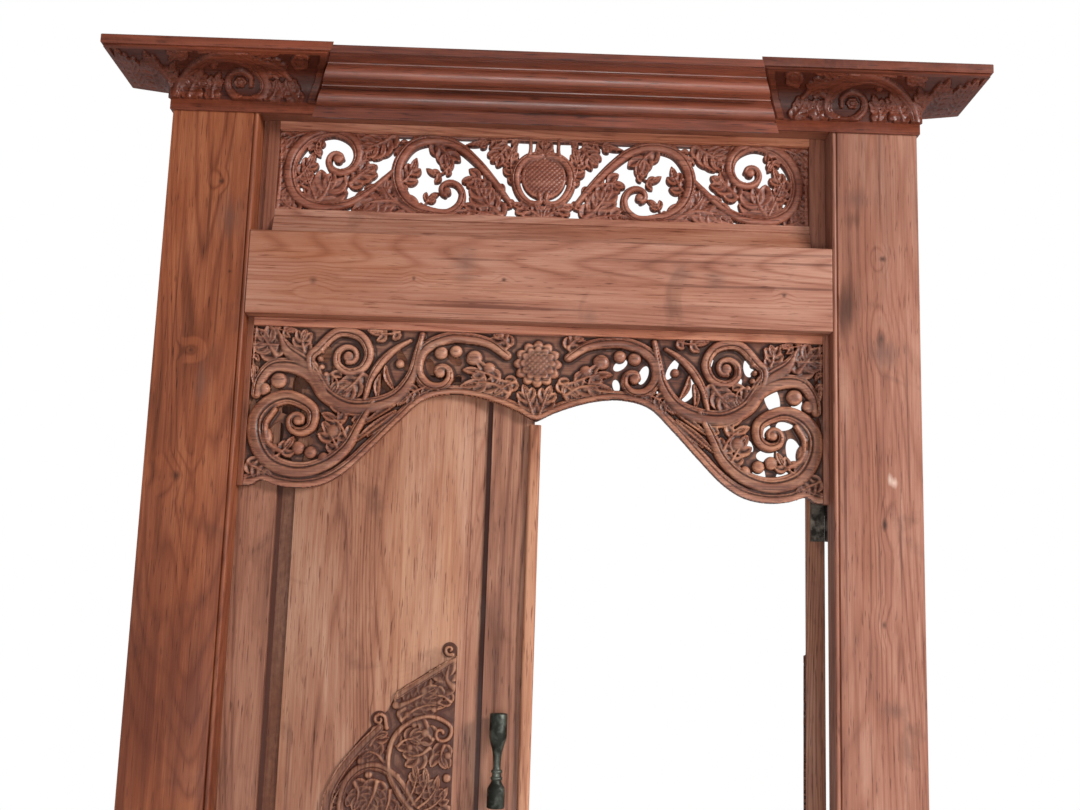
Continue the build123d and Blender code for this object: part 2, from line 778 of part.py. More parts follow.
# The left meeting stile is bored for the studs of the pull
with BuildPart() as left_meeting_stile:
    add(meeting_stile.part)
    for stud_height in stud_heights:
        with BuildSketch(front(leaf_front)):
            with Locations((-handle_offset, stud_height)):
                Circle(stud_radius)
        extrude(amount=-leaf_thickness, mode=Mode.SUBTRACT)
pieces["left_meeting_stile"] = left_meeting_stile.part

# Cover bead planted on the left meeting stile; it laps over the right leaf with a little play
bead_left = cover_bead_overlap - cover_bead_width
bead_front = leaf_front - cover_bead_proud
with BuildPart() as cover_bead:
    with BuildSketch(Plane.XY.offset(floor_gap)):
        with BuildLine():
            Polyline(
                (bead_left, bead_front + bead_round), (bead_left, leaf_front), (-leaf_inner, leaf_front),
                (-leaf_inner, leaf_front - cover_bead_relief),
                (cover_bead_overlap, leaf_front - cover_bead_relief),
                (cover_bead_overlap, bead_front + bead_round),
            )
            RadiusArc(
                (cover_bead_overlap, bead_front + bead_round),
                (cover_bead_overlap - bead_round, bead_front), bead_round,
            )
            Line((cover_bead_overlap - bead_round, bead_front), (bead_left + bead_round, bead_front))
            RadiusArc(
                (bead_left + bead_round, bead_front), (bead_left, bead_front + bead_round), bead_round,
            )
        make_face()
    extrude(amount=cusp_height - cover_bead_top_gap - floor_gap)
pieces["left_cover_bead"] = cover_bead.part

# Turned pull, its two studs through the stile and their nuts behind. Each half of its outline is
# given as (distance from its end, radius).
lower_grip = (
    (0, handle_radius), (36, handle_radius), (56, 9.5), (70, 9.5), (70, 11.5), (76, 11.5), (76, handle_waist),
)
upper_grip = ((0, handle_radius), (40, handle_radius), (84, handle_waist))
handle_axis = leaf_front - handle_standoff
with BuildPart() as handle:
    with BuildSketch(Plane.XZ.offset(-handle_axis)):
        with BuildLine():
            foot = handle_height - handle_length / 2
            crown = handle_height + handle_length / 2
            Polyline(
                (-handle_offset, foot),
                *[(radius - handle_offset, foot + height) for height, radius in lower_grip],
                *[(radius - handle_offset, crown - height) for height, radius in reversed(upper_grip)],
                (-handle_offset, crown),
                close=True,
            )
        make_face()
    revolve(axis=Axis((-handle_offset, handle_axis, 0), (0, 0, 1)))
    for stud_height in stud_heights:
        with BuildSketch(front(handle_axis)):
            with Locations((-handle_offset, stud_height)):
                Circle(stud_radius)
        extrude(amount=-handle_standoff, mode=Mode.SUBTRACT)
pieces["left_handle"] = handle.part

with BuildPart() as handle_studs:
    with BuildSketch(front(handle_axis)):
        for stud_height in stud_heights:
            with Locations((-handle_offset, stud_height)):
                Circle(stud_radius)
    extrude(amount=-(handle_standoff + leaf_thickness + nut_thickness + stud_end))
pieces["left_handle_studs"] = handle_studs.part

with BuildPart() as handle_nuts:
    with BuildSketch(front(frame_depth)):
        for stud_height in stud_heights:
            with Locations((-handle_offset, stud_height)):
                RegularPolygon(nut_radius, 6)
                Circle(stud_radius, mode=Mode.SUBTRACT)
    extrude(amount=-nut_thickness)
pieces["left_handle_nuts"] = handle_nuts.part

# Lift-off hinges, drawn for the closed left leaf: the frame's knuckle below holds the pin, the
# leaf's knuckle turns on it above


def knuckle(low, high, bore):
    """A knuckle round the hinge line between two heights, bored for the pin."""
    with Locations((-hinge_x, hinge_y, (low + high) / 2)):
        Cylinder(knuckle_radius, high - low)
        Cylinder(bore, high - low, mode=Mode.SUBTRACT)


def hinge_parts(level):
    """Frame plate and leaf plate of one hinge on the left side."""
    bottom = level - hinge_height / 2
    top = level + hinge_height / 2
    turning_low = level + knuckle_gap
    with BuildPart() as frame_plate:
        block(-rebate_edge - plate_thickness, -rebate_edge, plate_front, plate_back, bottom, top)
        block(-rebate_edge - plate_thickness, -rebate_edge, plate_back, tab_back, bottom, level)
        knuckle(bottom, level, pin_radius)
    with BuildPart() as leaf_plate:
        block(-leaf_outer, -leaf_outer + plate_thickness, plate_front, plate_back, bottom, top)
        block(-leaf_outer, -leaf_outer + plate_thickness, plate_back, tab_back, turning_low, top)
        knuckle(turning_low, top, pin_radius + pin_clearance)
    return frame_plate.part, leaf_plate.part


for number, level in enumerate(hinge_levels, 1):
    frame_plate, leaf_plate = hinge_parts(level)
    pieces[f"left_hinge_{number}_frame_plate"] = frame_plate
    pieces[f"left_hinge_{number}_leaf_plate"] = leaf_plate
    pieces[f"right_hinge_{number}_frame_plate"] = frame_plate.mirror(Plane.YZ)
    pieces[f"right_hinge_{number}_leaf_plate"] = leaf_plate.mirror(Plane.YZ).rotate(right_axis, -open_angle)

with BuildPart() as hinge_pins:
    for level in hinge_levels:
        with Locations((-hinge_x, hinge_y, level)):
            Cylinder(pin_radius, hinge_height)
pieces["left_hinge_pins"] = hinge_pins.part
pieces["right_hinge_pins"] = hinge_pins.part.mirror(Plane.YZ)

for name, piece in pieces.items():
    piece.label = name
    export_step(piece, "parts/" + name + ".step")
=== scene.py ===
import logging
import math
from dataclasses import dataclass
from enum import Enum
from typing import Callable

import bmesh
import bpy
import numpy as np
from mathutils import Matrix, Vector


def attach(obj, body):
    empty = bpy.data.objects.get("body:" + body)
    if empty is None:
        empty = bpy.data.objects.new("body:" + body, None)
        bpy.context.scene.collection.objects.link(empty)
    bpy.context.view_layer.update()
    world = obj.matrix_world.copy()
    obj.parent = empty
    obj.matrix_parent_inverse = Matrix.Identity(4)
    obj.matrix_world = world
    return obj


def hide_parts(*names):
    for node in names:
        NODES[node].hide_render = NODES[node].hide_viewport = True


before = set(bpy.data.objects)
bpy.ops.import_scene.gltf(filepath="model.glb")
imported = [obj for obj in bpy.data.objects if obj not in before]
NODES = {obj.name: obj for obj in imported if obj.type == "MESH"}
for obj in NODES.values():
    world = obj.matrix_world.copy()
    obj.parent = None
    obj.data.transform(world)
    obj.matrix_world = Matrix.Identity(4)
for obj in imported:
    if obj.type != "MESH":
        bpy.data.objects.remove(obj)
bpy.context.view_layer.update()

log = logging.getLogger("temple_door")

MM = 0.001
CELL = 1.7          # grid of the carved boards, in millimetres
FAR = 99.0                                 # stands for well outside a form, in millimetres
NEAR = 1e-9                                # keeps a division away from zero
MERGE = 0.00001                            # vertices closer than this are one, in metres
CHUNK = 6000                               # places worked on at a time
SKIRT = 8.0                                # how far round a stroke it is worked out, in millimetres
HINGE_LINE = Vector((635.5 * MM, 110.0 * MM, 0.0))
OPEN_ANGLE = math.radians(-102.0)          # the right leaf stands open at rest

Spots = tuple[tuple[float, float], ...]
Rows = tuple[tuple[float, ...], ...]
Fields = tuple[np.ndarray, np.ndarray]


def linear(code: str) -> tuple[float, float, float, float]:
    """Scene-linear colour of a hexadecimal screen colour.

    Args:
        code: six hexadecimal digits.

    Returns:
        Red, green, blue and an alpha of one.
    """
    shades = [int(code[at:at + 2], 16) / 255 for at in (0, 2, 4)]
    return tuple(s / 12.92 if s <= 0.04045 else ((s + 0.055) / 1.055) ** 2.4 for s in shades) + (1.0,)


class Tree:
    """A material's node tree, with short calls for the nodes the finishes share."""

    def __init__(self, name: str) -> None:
        """Starts a material with a Principled shader.

        Args:
            name: the material's name.
        """
        self.material = bpy.data.materials.new(name)
        self.material.use_nodes = True
        self.nodes = self.material.node_tree.nodes
        self.shader = self.nodes["Principled BSDF"]

    def feed(self, node: bpy.types.Node, values: dict[str | int, object]) -> None:
        """Sets a node's inputs.

        Args:
            node: the node.
            values: sockets to link or constants, by the input's name or number.
        """
        for key, value in values.items():
            if isinstance(value, bpy.types.NodeSocket):
                self.material.node_tree.links.new(value, node.inputs[key])
            else:
                node.inputs[key].default_value = value

    def add(self, kind: str, values: dict[str | int, object] | None = None,
            **settings: object) -> bpy.types.Node:
        """Adds a node.

        Args:
            kind: the node's type after "ShaderNode".
            values: sockets or constants for its inputs.
            **settings: its properties by name.

        Returns:
            The new node.
        """
        node = self.nodes.new("ShaderNode" + kind)
        for key, value in settings.items():
            setattr(node, key, value)
        self.feed(node, values or {})
        return node

    def place(self, turn: float, stretch: tuple[float, float, float],
              offset: tuple[float, float, float]) -> bpy.types.NodeSocket:
        """Object coordinates turned back to a closed leaf's, stretched along the grain.

        Args:
            turn: angle about Z in radians that undoes the leaf's swing.
            stretch: scale along each axis.
            offset: shift of the pattern in metres.

        Returns:
            The vector socket.
        """
        plain = self.add("TexCoord").outputs["Object"]
        turned = self.add("Mapping", {"Vector": plain, "Rotation": (0, 0, turn)}).outputs["Vector"]
        scaled = self.add("Mapping", {"Vector": turned, "Location": offset, "Scale": stretch})
        return scaled.outputs["Vector"]

    def noise(self, vector: bpy.types.NodeSocket, scale: float, detail: float = 5.0,
              distortion: float = 0.0, roughness: float = 0.55) -> bpy.types.NodeSocket:
        """Noise on a vector; returns its value socket."""
        return self.add("TexNoise", {"Vector": vector, "Scale": scale, "Detail": detail,
                                     "Roughness": roughness, "Distortion": distortion}).outputs["Fac"]

    def ramp(self, value: bpy.types.NodeSocket,
             stops: list[tuple[float, tuple[float, float, float, float]]]) -> bpy.types.NodeSocket:
        """Colour ramp over a value.

        Args:
            value: the driving socket.
            stops: positions and colours in order.

        Returns:
            The colour socket.
        """
        node = self.add("ValToRGB", {"Fac": value})
        edge = node.color_ramp.elements
        edge[0].position, edge[0].color = stops[0]
        edge[1].position, edge[1].color = stops[-1]
        for position, colour in stops[1:-1]:
            edge.new(position).color = colour
        return node.outputs["Color"]

    def span(self, value: bpy.types.NodeSocket, low: float, high: float,
             to_low: float = 0.0, to_high: float = 1.0) -> bpy.types.NodeSocket:
        """Maps a value from one range to another, clamped."""
        return self.add("MapRange", {"Value": value, "From Min": low, "From Max": high, "To Min": to_low,
                                     "To Max": to_high}).outputs["Result"]

    def mix(self, share: bpy.types.NodeSocket | float, first: object, second: object,
            blend: str = "MIX") -> bpy.types.NodeSocket:
        """Mixes two colours.

        Args:
            share: socket or number, 0 for the first colour.
            first: socket or colour.
            second: socket or colour.
            blend: the blend type.

        Returns:
            The colour socket.
        """
        return self.add("Mix", {0: share, 6: first, 7: second}, data_type="RGBA", blend_type=blend).outputs[2]

    def sum(self, *parts: tuple[bpy.types.NodeSocket, float]) -> bpy.types.NodeSocket:
        """Adds up sockets, each times its weight.

        Args:
            *parts: pairs of a socket and its weight.

        Returns:
            The sum's socket.
        """
        total = 0.0
        for socket, weight in parts:
            total = self.add("Math", {0: socket, 1: weight, 2: total}, operation="MULTIPLY_ADD").outputs[0]
        return total

    def fold(self, value: bpy.types.NodeSocket) -> bpy.types.NodeSocket:
        """Folds a value to and fro between 0 and 0.5."""
        return self.add("Math", {0: value, 1: 0.5}, operation="PINGPONG").outputs[0]

    def bump(self, height: bpy.types.NodeSocket, strength: float, distance: float) -> None:
        """Bumps the shader's surface by a height."""
        node = self.add("Bump", {"Height": height, "Strength": strength, "Distance": distance})
        self.feed(self.shader, {"Normal": node.outputs["Normal"]})


class Grain(Enum):
    """Which way the fibres of a board run."""

    UPRIGHT = "upright"
    LEVEL = "level"

    def stretch(self, along: float) -> tuple[float, float, float]:
        """Pattern scale with the fibres' direction drawn out."""
        return (1.0, 1.0, along) if self is Grain.UPRIGHT else (along, 1.0, 1.0)


@dataclass(frozen=True)
class Mark:
    """A knot, stain, worn spot or broad darker patch that runs through a board's depth; lengths in metres."""

    x: float
    z: float
    radius: float
    shade: str = "3a1b12"
    strength: float = 0.75
    drawn: float = 1.0
    swirl: float = 0.0

    def distance(self, tree: Tree, turn: float) -> bpy.types.NodeSocket:
        """Distance from the mark's middle, measured on the face and drawn out upright.

        Args:
            tree: the material's tree.
            turn: angle that brings the face back to upright and level.

        Returns:
            The distance's socket.
        """
        spot = tree.place(turn, (1.0, 0.0, 1.0 / self.drawn), (0.0, 0.0, 0.0))
        middle = (self.x, 0.0, self.z / self.drawn)
        return tree.add("VectorMath", {0: spot, 1: middle}, operation="DISTANCE").outputs["Value"]


@dataclass(frozen=True)
class Teak:
    """Oiled teak with growth rings, pores and stains; on carvings, painted shade in the recesses and a
    painted highlight on the raised tops.
    """

    name: str
    slot: str
    light: str
    middle: str
    dark: str
    grain: Grain = Grain.UPRIGHT
    turn: float = 0.0
    offset: tuple[float, float, float] = (0.0, 0.0, 0.0)
    stain: str = "4a2a20"
    staining: float = 0.45
    rings: float = 42.0
    ringing: float = 0.62
    honey: float = 0.6
    roughness: float = 0.5
    specular: float = 0.32
    coat: float = 0.0
    carved: bool = False
    # colour of the painted shade in a carving's recesses
    recess_shade: str = "1d0f0b"
    # how strongly the painted shade darkens the recesses
    depth: float = 0.92
    marks: tuple[Mark, ...] = ()

    def wood(self, tree: Tree) -> tuple[bpy.types.NodeSocket, bpy.types.NodeSocket]:
        """Colour of the bare wood.

        Args:
            tree: the material's tree.

        Returns:
            The colour and the height of its pores.
        """
        broad = tree.place(self.turn, self.grain.stretch(0.10), self.offset)
        dashes = tree.place(self.turn, self.grain.stretch(0.06), self.offset)
        fibres = tree.place(self.turn, self.grain.stretch(0.015), self.offset)
        plain = tree.place(self.turn, (1.0, 1.0, 1.0), self.offset)
        figure = tree.noise(broad, 10.0, 3.0, 0.9)
        streaks = tree.noise(broad, 52.0, 4.0, 0.5)
        pores = tree.noise(fibres, 330.0, 2.0)
        cloud = tree.noise(plain, 2.1, 3.0)
        growth = tree.sum((tree.noise(broad, 3.6, 2.0, 0.35, 0.4), self.rings))
        ragged = tree.noise(dashes, 60.0, 4.0)
        reaches = [mark.distance(tree, self.turn) for mark in self.marks]
        for mark, reach in zip(self.marks, reaches):
            if mark.swirl:
                pull = tree.span(reach, 0.0, 4.5 * mark.radius, mark.swirl, 0.0)
                growth = tree.sum((growth, 1.0), (pull, 1.0))
        late = tree.span(tree.fold(growth), 0.24, 0.5)
        fade = tree.span(tree.noise(broad, 6.0, 2.0), 0.36, 0.60, 0.15, 1.0)
        line = tree.add("Math", {0: late, 1: fade}, operation="MULTIPLY").outputs[0]
        tone = tree.sum((figure, 0.42), (streaks, 0.30), (pores, 0.26), (cloud, 0.26),
                        (line, -0.20 * self.ringing))
        colour = tree.ramp(tone, [
            (0.42, linear(self.dark)), (0.58, linear(self.middle)), (0.74, linear(self.light)),
        ])
        colour = tree.mix(tree.span(line, 0.35, 1.0, 0.0, 0.5 * self.ringing), colour,
                          linear(self.dark))
        honey = tree.span(tree.noise(broad, 5.5, 2.0, 0.5), 0.48, 0.66, 0.0, self.honey)
        colour = tree.mix(honey, colour, (1.0, 0.86, 0.66, 1.0), "MULTIPLY")
        ticks = tree.span(tree.noise(dashes, 300.0, 2.0), 0.60, 0.69, 0.0, 0.65)
        colour = tree.mix(ticks, colour, linear(self.dark), "MULTIPLY")
        seams = tree.span(tree.noise(fibres, 95.0, 2.0, 0.2), 0.64, 0.72, 0.0, 0.55)
        colour = tree.mix(seams, colour, linear(self.dark), "MULTIPLY")
        patches = tree.span(tree.noise(plain, 6.5, 5.0, 0.8), 0.60, 0.74, 0.0, self.staining)
        colour = tree.mix(patches, colour, linear(self.stain))
        for mark, reach in zip(self.marks, reaches):
            spread = tree.sum((reach, 1.0), (ragged, mark.radius * 2.4))
            share = tree.span(spread, mark.radius * 2.2, mark.radius * 1.2, 0.0, mark.strength)
            colour = tree.mix(share, colour, linear(mark.shade))
        return colour, tree.sum((pores, 0.5), (streaks, 0.5))

    def material(self) -> bpy.types.Material:
        """Builds the finish.

        Returns:
            The material.
        """
        tree = Tree(self.name)
        colour, height = self.wood(tree)
        plain = tree.place(self.turn, (1.0, 1.0, 1.0), self.offset)
        if self.carved:
            # painted shade: a carving's recesses are darkened by a per-vertex shade layer, broken up with
            # fine noise
            painted_shade = tree.add("Attribute", attribute_name="painted_shade")
            scratches = tree.noise(plain, 90.0, 4.0)
            hollow = tree.sum((painted_shade.outputs["Fac"], 1.0), (scratches, 0.35))
            colour = tree.mix(tree.span(hollow, 0.32, 1.05, 0.0, self.depth), colour, linear(self.recess_shade))
            # painted highlight: where the shade layer is low, on the raised tops, the colour is lightened
            # towards the light wood shade
            top_highlight = tree.span(hollow, 0.20, 0.06, 0.0, 0.35)
            colour = tree.mix(top_highlight, colour, linear(self.light))
            height = tree.sum((height, 0.6), (scratches, 0.8))
        gloss = tree.span(tree.noise(plain, 9.0, 3.0), 0.35, 0.65, self.roughness - 0.08,
                          self.roughness + 0.12)
        tree.feed(tree.shader, {"Base Color": colour, "Roughness": gloss, "Specular IOR Level": self.specular,
                                "Coat Weight": self.coat, "Coat Roughness": 0.3})
        tree.bump(height, 0.35, 0.0012)
        return tree.material


@dataclass(frozen=True)
class Iron:
    """Dark cast metal with worn, slightly blue-green high spots."""

    name: str
    slot: str
    dark: str = "24251f"
    worn: str = "65695f"
    roughness: float = 0.46
    metallic: float = 0.65

    def material(self) -> bpy.types.Material:
        """Builds the finish.

        Returns:
            The material.
        """
        tree = Tree(self.name)
        plain = tree.place(0.0, (1.0, 1.0, 1.0), (0.0, 0.0, 0.0))
        patches = tree.noise(plain, 38.0, 5.0, 0.4)
        fine = tree.noise(plain, 420.0, 3.0)
        wear = tree.mix(tree.span(patches, 0.42, 0.68), linear(self.dark), linear(self.worn))
        gloss = tree.span(patches, 0.3, 0.7, self.roughness + 0.16, self.roughness - 0.06)
        tree.feed(tree.shader, {"Base Color": wear, "Roughness": gloss, "Metallic": self.metallic})
        tree.bump(tree.sum((patches, 0.7), (fine, 0.3)), 0.25, 0.0008)
        return tree.material


def between(t: np.ndarray, times: np.ndarray, low: np.ndarray, high: np.ndarray) -> np.ndarray:
    """Blends two lines by where t lies between two times."""
    return (times[1] - t) / (times[1] - times[0]) * low + (t - times[0]) / (times[1] - times[0]) * high


def smooth_line(points: Spots, step: float = 1.5) -> np.ndarray:
    """A centripetal Catmull-Rom curve through points.

    Args:
        points: the points it passes, in millimetres.
        step: about how far apart the samples are.

    Returns:
        Samples as rows of (x, z).
    """
    knots = np.array(points, float)
    knots = np.vstack([2 * knots[0] - knots[1], knots, 2 * knots[-1] - knots[-2]])
    rows = []
    for a, b, c, d in zip(knots, knots[1:], knots[2:], knots[3:]):
        spans = [max(np.linalg.norm(q - p), 1e-6) ** 0.5 for p, q in ((a, b), (b, c), (c, d))]
        times = np.cumsum([0.0, *spans])
        t = np.linspace(times[1], times[2], max(2, int(np.linalg.norm(c - b) / step) + 1))[:, None]
        ab, bc, cd = (between(t, times[n:n + 2], p, q) for n, (p, q) in enumerate(((a, b), (b, c), (c, d))))
        abc, bcd = between(t, times[[0, 2]], ab, bc), between(t, times[[1, 3]], bc, cd)
        rows.append(between(t, times[1:3], abc, bcd))
    return np.vstack(rows)


def reach_to(line: np.ndarray, x: np.ndarray, z: np.ndarray) -> np.ndarray:
    """Distance from each place to the nearest sample of a line.

    Args:
        line: its samples as rows.
        x: places across.
        z: places upwards.

    Returns:
        The distances.
    """
    reach = np.empty(x.shape)
    for low in range(0, x.size, CHUNK):
        part = slice(low, low + CHUNK)
        reach[part] = np.hypot(x[part, None] - line[:, 0], z[part, None] - line[:, 1]).min(1)
    return reach


def spiral(centre: tuple[float, float], radii: tuple[float, float], angles: tuple[float, float],
           count: int) -> list[tuple[float, float]]:
    """Points of a logarithmic spiral.

    Args:
        centre: its eye.
        radii: first and last radius.
        angles: first and last angle in degrees.
        count: number of steps.

    Returns:
        The points.
    """
    turns = []
    for number in range(count + 1):
        share = number / count
        radius = radii[0] * (radii[1] / radii[0]) ** share
        angle = math.radians(angles[0] + (angles[1] - angles[0]) * share)
        turns.append((centre[0] + radius * math.cos(angle), centre[1] + radius * math.sin(angle)))
    return turns


class Cut(Enum):
    """How a stroke of the gouge is shaped across."""

    VINE = "vine"
    LOBE = "lobe"
    BAND = "band"


@dataclass(frozen=True)
class Stroke:
    """A vine, leaf or band carved along a line, in millimetres on the face of a board."""

    points: Spots
    start: float
    end: float
    belly: float = 0.0
    cut: Cut = Cut.VINE
    top: float = 24.0
    drop: float = 9.0

    def fields(self, x: np.ndarray, z: np.ndarray) -> Fields:
        """How far points lie outside the stroke, and the wood's height there.

        Args:
            x: places across.
            z: places upwards.

        Returns:
            Distance past the stroke's edge (negative inside) and height over the board's back.
        """
        line = smooth_line(self.points)
        share = np.concatenate([[0.0], np.cumsum(np.linalg.norm(np.diff(line, axis=0), axis=1))])
        share /= share[-1]
        half = 0.5 * (self.start + (self.end - self.start) * share + self.belly * np.sin(np.pi * share))
        along = np.gradient(line, axis=0)
        along /= np.maximum(np.linalg.norm(along, axis=1), NEAR)[:, None]
        edge = np.full(x.shape, FAR)
        height = np.zeros(x.shape)
        reach = half.max() + SKIRT
        near = np.flatnonzero(
            (x > line[:, 0].min() - reach) & (x < line[:, 0].max() + reach)
            & (z > line[:, 1].min() - reach) & (z < line[:, 1].max() + reach)
        )
        for low in range(0, near.size, CHUNK):
            part = near[low:low + CHUNK]
            dx = x[part][:, None] - line[None, :, 0]
            dz = z[part][:, None] - line[None, :, 1]
            reached = np.sqrt(dx * dx + dz * dz) / half[None, :]
            best = reached.argmin(axis=1)
            rows = np.arange(part.size)
            across = reached[rows, best]
            side = np.sign(along[best, 0] * dz[rows, best] - along[best, 1] * dx[rows, best])
            edge[part] = (across - 1.0) * half[best]
            height[part] = self.shape(across, side, share[best], half[best])
        return edge, height

    def shape(self, across: np.ndarray, side: np.ndarray, share: np.ndarray, half: np.ndarray) -> np.ndarray:
        """Height over the back at a place on the stroke.

        Args:
            across: 0 on its middle line, 1 at its edge.
            side: which side of the line.
            share: 0 at its start, 1 at its end.
            half: half its width there.

        Returns:
            The height in millimetres.
        """
        r = np.clip(across, 0.0, 1.0)
        dome = np.sqrt(np.maximum(0.0, 1.0 - r * r))
        if self.cut is Cut.VINE:
            fine = np.clip((half - 4.5) / 4.0, 0.0, 1.0)
            crown = np.sqrt(np.maximum(0.0, 1.0 - r ** 3))
            near, far = (np.exp(-((side * r - place) / width) ** 2)
                         for place, width in ((0.30, 0.13), (0.70, 0.11)))
            grooves = near + 0.8 * far
            rise = dome * (1.0 - fine) + fine * np.clip(crown - 0.42 * grooves, 0.0, 1.0)
        elif self.cut is Cut.LOBE:
            cup = 0.5 + 0.5 * r ** 1.6
            fall = 1.0 - np.clip((r - 0.8) / 0.2, 0.0, 1.0) ** 2 * 0.55
            groove = 0.30 * np.exp(-(r / 0.13) ** 2)
            rise = np.clip(cup * fall - groove + 0.18 * np.sin(np.pi * share), 0.0, 1.0)
        else:
            groove = np.exp(-((r - 0.62) / 0.14) ** 2)
            rise = np.clip(1.0 - 0.55 * groove - np.clip((r - 0.85) / 0.15, 0.0, 1.0) ** 2 * 0.8, 0.0, 1.0)
        return self.top - self.drop * (1.0 - rise)


@dataclass(frozen=True)
class Acanthus:
    """A carved leaf: pairs of hollowed lobes along a spine, with one more at the tip."""

    points: Spots
    width: float
    lobes: int
    top: float = 20.0
    drop: float = 9.0

    def strokes(self) -> list[Stroke]:
        """The gouge strokes that make the leaf.

        Returns:
            Lobes from the foot to the tip, then the spine.
        """
        line = smooth_line(self.points, 1.0)
        count = len(line) - 1
        made = []
        for number in range(self.lobes):
            share = 0.04 + 0.80 * number / self.lobes
            at = int(share * count)
            foot = line[at]
            ahead = line[min(at + 3, count)] - line[max(at - 3, 0)]
            ahead = ahead / max(np.linalg.norm(ahead), NEAR)
            swell = 0.62 + 0.42 * math.sin(math.pi * min(share * 1.15 + 0.12, 1.0))
            reach = 0.56 * self.width * swell
            for side in (-1, 1):
                across = np.array([-ahead[1], ahead[0]]) * side
                bend = foot + ahead * reach * 0.28 + across * reach * 0.52
                tip = foot + ahead * reach * 0.98 + across * reach * 0.86
                points = (tuple(foot), tuple(bend), tuple(tip))
                made.append(Stroke(points, 0.30 * self.width, 0.11 * self.width, 0.32 * self.width, Cut.LOBE,
                                   self.top - 0.9 * (self.lobes - number) / self.lobes, self.drop))
        start = int(0.62 * count)
        tip_line = tuple(map(tuple, line[[start, (start + count) // 2, count]]))
        made.append(Stroke(tip_line, 0.34 * self.width, 2.4, 0.26 * self.width, Cut.LOBE, self.top,
                           self.drop))
        spine = tuple(map(tuple, line[[0, count // 3, 2 * count // 3, int(0.92 * count)]]))
        made.append(Stroke(spine, 0.2 * self.width, 1.6, 0.0, Cut.VINE, self.top + 0.6, self.drop * 0.5))
        return made

    def fields(self, x: np.ndarray, z: np.ndarray) -> Fields:
        """Distance past the edge and height over the back, as for a stroke.

        Args:
            x: places across.
            z: places upwards.

        Returns:
            The two fields.
        """
        edge = np.full(x.shape, FAR)
        height = np.zeros(x.shape)
        spots = np.array(self.points)
        low, high = spots.min(0) - self.width, spots.max(0) + self.width
        near = np.flatnonzero((x > low[0]) & (x < high[0]) & (z > low[1]) & (z < high[1]))
        for stroke in self.strokes():
            gap, rise = stroke.fields(x[near], z[near])
            edge[near] = np.minimum(edge[near], gap)
            height[near] = np.maximum(height[near], rise * np.clip(1.0 - gap / 1.5, 0.0, 1.0))
        return edge, height


@dataclass(frozen=True)
class Bloom:
    """A round form: a boss, a seed pod or a rosette."""

    centre: tuple[float, float]
    radius: float
    top: float = 24.0
    drop: float = 8.0
    petals: int = 0
    seeds: float = 0.0
    stretch: float = 1.0

    def fields(self, x: np.ndarray, z: np.ndarray) -> Fields:
        """Distance past the edge and height over the back, as for a stroke.

        Args:
            x: places across.
            z: places upwards.

        Returns:
            The two fields.
        """
        dx = x - self.centre[0]
        dz = (z - self.centre[1]) / self.stretch
        reach = np.hypot(dx, dz)
        angle = np.arctan2(dz, dx)
        rim = self.radius * np.ones_like(reach)
        if self.petals:
            rim = self.radius * (0.84 + 0.16 * np.abs(np.cos(self.petals * angle / 2)))
        r = np.clip(reach / rim, 0.0, 1.0)
        rise = np.sqrt(np.maximum(0.0, 1.0 - r * r))
        if self.petals:
            heart = 0.52
            petal = 0.35 + 0.4 * (r - heart) / (1 - heart) + 0.25 * np.abs(np.cos(self.petals * angle / 2))
            petal *= 1.0 - 0.7 * np.clip((r - 0.85) / 0.15, 0.0, 1.0) ** 2
            rise = np.where(r < heart, 0.75 + 0.25 * np.sqrt(np.maximum(0.0, 1 - (r / heart) ** 2)), petal)
            rise -= 0.5 * np.exp(-((r - heart) / 0.05) ** 2)
        if self.seeds:
            pits = np.abs(np.cos((dx + dz) * np.pi / self.seeds) * np.cos((dx - dz) * np.pi / self.seeds))
            inner = 0.5 if self.petals else 0.88
            rise = rise - np.where(r < inner, 0.34 * (1.0 - pits), 0.0)
        return reach - rim, self.top - self.drop * (1.0 - np.clip(rise, 0.0, 1.0))


def leaves(rows: Rows, **cut: float) -> tuple[Acanthus, ...]:
    """Leaves from rows of numbers.

    Args:
        rows: foot, bend and tip as six numbers, then the width and the pairs of lobes.
        **cut: top and drop of all of them.

    Returns:
        The leaves.
    """
    return tuple(Acanthus((row[:2], row[2:4], row[4:6]), *row[6:], **cut) for row in rows)


def bosses(rows: Rows, **cut: float) -> tuple[Bloom, ...]:
    """Plain round bosses from rows of numbers.

    Args:
        rows: the centre's two numbers and the radius, with the top where it isn't shared.
        **cut: what they share.

    Returns:
        The bosses.
    """
    return tuple(Bloom(row[:2], *row[2:], **cut) for row in rows)


Forms = tuple[Stroke | Acanthus | Bloom, ...]


@dataclass(frozen=True)
class Window:
    """A place where the ground between the forms is sawn out: centre, half length, half width, tilt."""

    centre: tuple[float, float]
    length: float
    width: float
    tilt: float = 90.0

    def inside(self, x: np.ndarray, z: np.ndarray) -> np.ndarray:
        """How far a place lies inside the window's oval.

        Args:
            x: places across.
            z: places upwards.

        Returns:
            The distances in millimetres, negative outside.
        """
        turn = math.radians(self.tilt)
        along = (x - self.centre[0]) * math.cos(turn) + (z - self.centre[1]) * math.sin(turn)
        across = -(x - self.centre[0]) * math.sin(turn) + (z - self.centre[1]) * math.cos(turn)
        return (1.0 - np.hypot(along / self.length, across / self.width)) * min(self.length, self.width)


